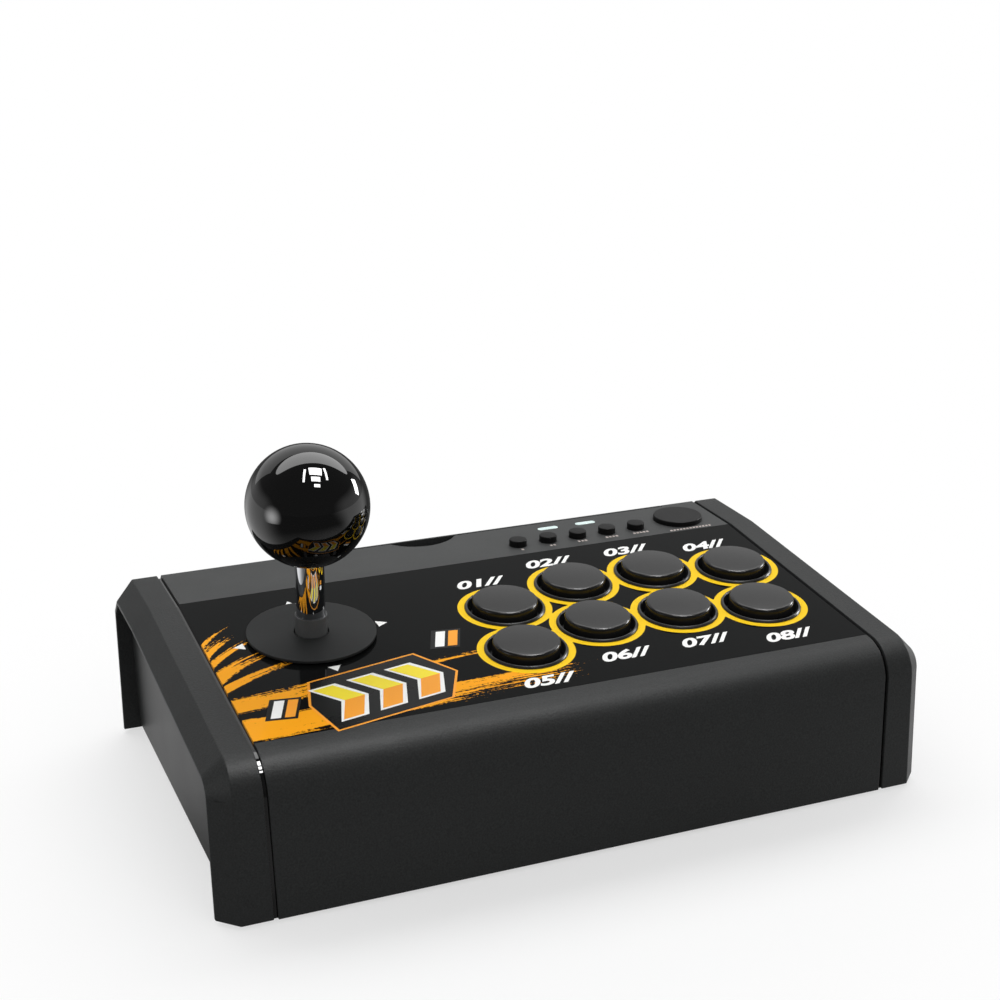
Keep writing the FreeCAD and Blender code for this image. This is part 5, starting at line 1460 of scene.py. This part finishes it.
@dataclass
class ControlStrip:
    """The small buttons, the start button, the lamp windows and the buttons' faint marks."""

    names: Sequence[str] = ("home", "share", "turbo", "left_mode", "right_mode")
    small: Point = (2.88, 2.1)  # radius and height, as the next
    start: Point = (8.24, 1.6)
    stem: Point = (1.5, 4.0)  # radius and depth
    flange: Trio = (0.8, -3.05, -2.05)  # width, bottom and top
    crown: float = 0.05
    key_edge: float = 0.4
    lamp_edge: float = 0.1
    tick: Point = (0.8, 1.2)  # width and height
    tick_pitch: float = 1.5
    small_drop: float = 5.2
    start_marks: tuple[int, float, float] = (13, 10.4, 0.3)  # number, drop and lean
    skin: float = 0.02
    facets: int = 72

    def key(self, name: str, radius: float, height: float) -> None:
        """Make one round key with a soft top edge.

        Args:
            name: Its CAD node.
            radius: Its radius.
            height: Its height over the strip.
        """
        place = STRIP.local(middle_of(name))
        (stem, depth), (wide, low, high) = self.stem, self.flange
        line = [(0, -depth), (stem, -depth), (stem, low), (radius + wide, low)]
        line += [(radius + wide, high), (radius, high), (radius, height), (0, height + self.crown)]
        line = rounded(line, self.key_edge, 4)
        piece = turned(name + "_key", line, STRIP.at(place.x, place.y), self.facets)
        body = name.replace("_button", "_key")
        settle(piece, body, "small_button_plastic", SMALL_BUTTON, name)

    def marks(self) -> None:
        """Print a row of faint ticks below each key."""
        width, height = self.tick
        rows = [(f"{name}_button", i, self.small_drop, 0.0) for i, name in enumerate(self.names, 1)]
        ticks = []
        for name, count, drop, lean in (*rows, ("start_button", *self.start_marks)):
            place = STRIP.local(middle_of(name))
            low, high = place.y - drop, place.y - drop + height
            for j in range(count):
                left = place.x + (j - count / 2) * width * self.tick_pitch
                right = left + width
                ticks.append([(left, low), (right, low), (right + lean, high), (left + lean, high)])
        piece = flat_print("strip_marks", ticks, STRIP.at(0, 0, self.skin))
        settle(piece, "case", "strip_plastic", INK_FAINT)

    def build(self) -> None:
        """Make the keys and the marks, and dress the lamps and the board."""
        for name in self.names:
            self.key(f"{name}_button", *self.small)
        self.key("start_button", *self.start)
        self.marks()
        moulded("led_guides", self.lamp_edge, "case", "lamp", LAMP)
        dress(BOARD, "strip_board")
        dress(SWITCH_PBT, "strip_switches")


@dataclass
class Joystick:
    """The ball top, its shaft and collar, the dust washer and the mechanism below.

    Heights and ends are measured up the stick's axis from the panel."""

    ball: float = 17.5
    ball_height: float = 40.7
    ball_flat: float = 6.0
    bore: float = 3.5  # how far its end is below the ball's middle
    shaft: float = 4.25
    shaft_ends: Point = (-35.0, 37.2)
    neck: float = 2.5
    neck_top: float = -24.5
    pin: Point = (1.4, 10.2)  # radius and reach
    pivot: float = -17.0
    collar: float = 4.7
    collar_ends: Point = (-3.0, 7.0)
    washer: Point = (5.0, 18.9)  # inner and outer radius
    washer_ends: Point = (0.65, 1.55)
    edges: Trio = (0.2, 0.2, 0.3)  # of the shaft, the collar and the washer
    ball_steps: int = 72
    ball_facets: int = 160
    shaft_facets: int = 128
    pin_facets: int = 32
    ring_facets: int = 144

    def ball_section(self) -> list[Point]:
        """Return the ball's section with its flat and its bore.

        Returns:
            The (radius, height) points, from the bore to the top.
        """
        low = -math.sqrt(self.ball**2 - self.ball_flat**2)
        first = math.asin(low / self.ball)
        step = (math.pi / 2 - first) / self.ball_steps
        turn = [first + step * i for i in range(self.ball_steps)]
        bore = [(0.0, -self.bore), (self.shaft, -self.bore), (self.shaft, low)]
        ball = [(self.ball * math.cos(a), self.ball * math.sin(a)) for a in turn]
        return [(r, h + self.ball_height) for r, h in [*bore, *ball, (0.0, self.ball)]]

    def pinned_shaft(self) -> Piece:
        """Make the shaft with its neck and its cross pin.

        Returns:
            The new piece.
        """
        low, top = self.shaft_ends
        line = [(0, low), (self.neck, low), (self.neck, self.neck_top), (self.shaft, self.neck_top)]
        line += [(self.shaft, top), (0, top)]
        line = rounded(line, self.edges[0], 2)
        shaft = turned("stick_shaft", line, STICK_AXIS, self.shaft_facets)
        across = Matrix.Translation((0, 0, self.pivot * MM)) @ Matrix.Rotation(math.pi / 2, 4, "X")
        radius, reach = self.pin
        line = [(0, -reach), (radius, -reach), (radius, reach), (0, reach)]
        pin = turned("pin", line, STICK_AXIS @ across, self.pin_facets)
        shape = bmesh.new()
        for piece in (shaft, pin):
            shape.from_mesh(piece.data)
        shape.to_mesh(shaft.data)
        shape.free()
        bpy.data.objects.remove(pin)
        return shaft

    def ring(self, name: str, radii: Point, ends: Point, edge: float) -> Piece:
        """Make a plain ring with soft edges on the stick's axis.

        Args:
            name: The piece's name.
            radii: Its inner and outer radius.
            ends: Its ends.
            edge: Radius of its edges.

        Returns:
            The new piece.
        """
        (inner, outer), (low, high) = radii, ends
        start = (outer, sum(ends) / 2)
        line = [start, (outer, high), (inner, high), (inner, low), (outer, low), start]
        return turned(name, rounded(line, edge, 3), STICK_AXIS, self.ring_facets)

    def build(self) -> None:
        """Make the joystick's pieces."""
        ball = turned("stick_ball", self.ball_section(), STICK_AXIS, self.ball_facets)
        settle(ball, "stick", "ball_gloss", BALL_PHENOLIC, "ball_top")
        settle(self.pinned_shaft(), "stick", "chrome", CHROME, "joystick_shaft")
        radii = (self.shaft, self.collar)
        collar = self.ring("stick_collar", radii, self.collar_ends, self.edges[1])
        settle(collar, "stick", "washer_plastic", COLLAR_POM, "shaft_collar")
        washer = self.ring("stick_washer", self.washer, self.washer_ends, self.edges[2])
        settle(washer, "washer", "washer_plastic", NYLON, "dust_washer")
        dress(NYLON, "dust_slide")
        dress(MECHANISM_POM, "actuator", "restrictor_gate", "gimbal_yoke", "joystick_housing")
        dress(STEEL, "joystick_plate", "joystick_spring", "shaft_clip")
        dress(SWITCH_PBT, "joystick_switches")


def main() -> None:
    """Build the whole look in order."""
    logging.basicConfig(level=logging.INFO, format="%(message)s")
    shell = (CableLead, CaseShell, Fasteners, RearDoor)
    for kind in (Studio, *shell, Faceplate, MainButtons, ControlStrip, Joystick):
        kind().build()


if __name__ == "__main__":
    main()
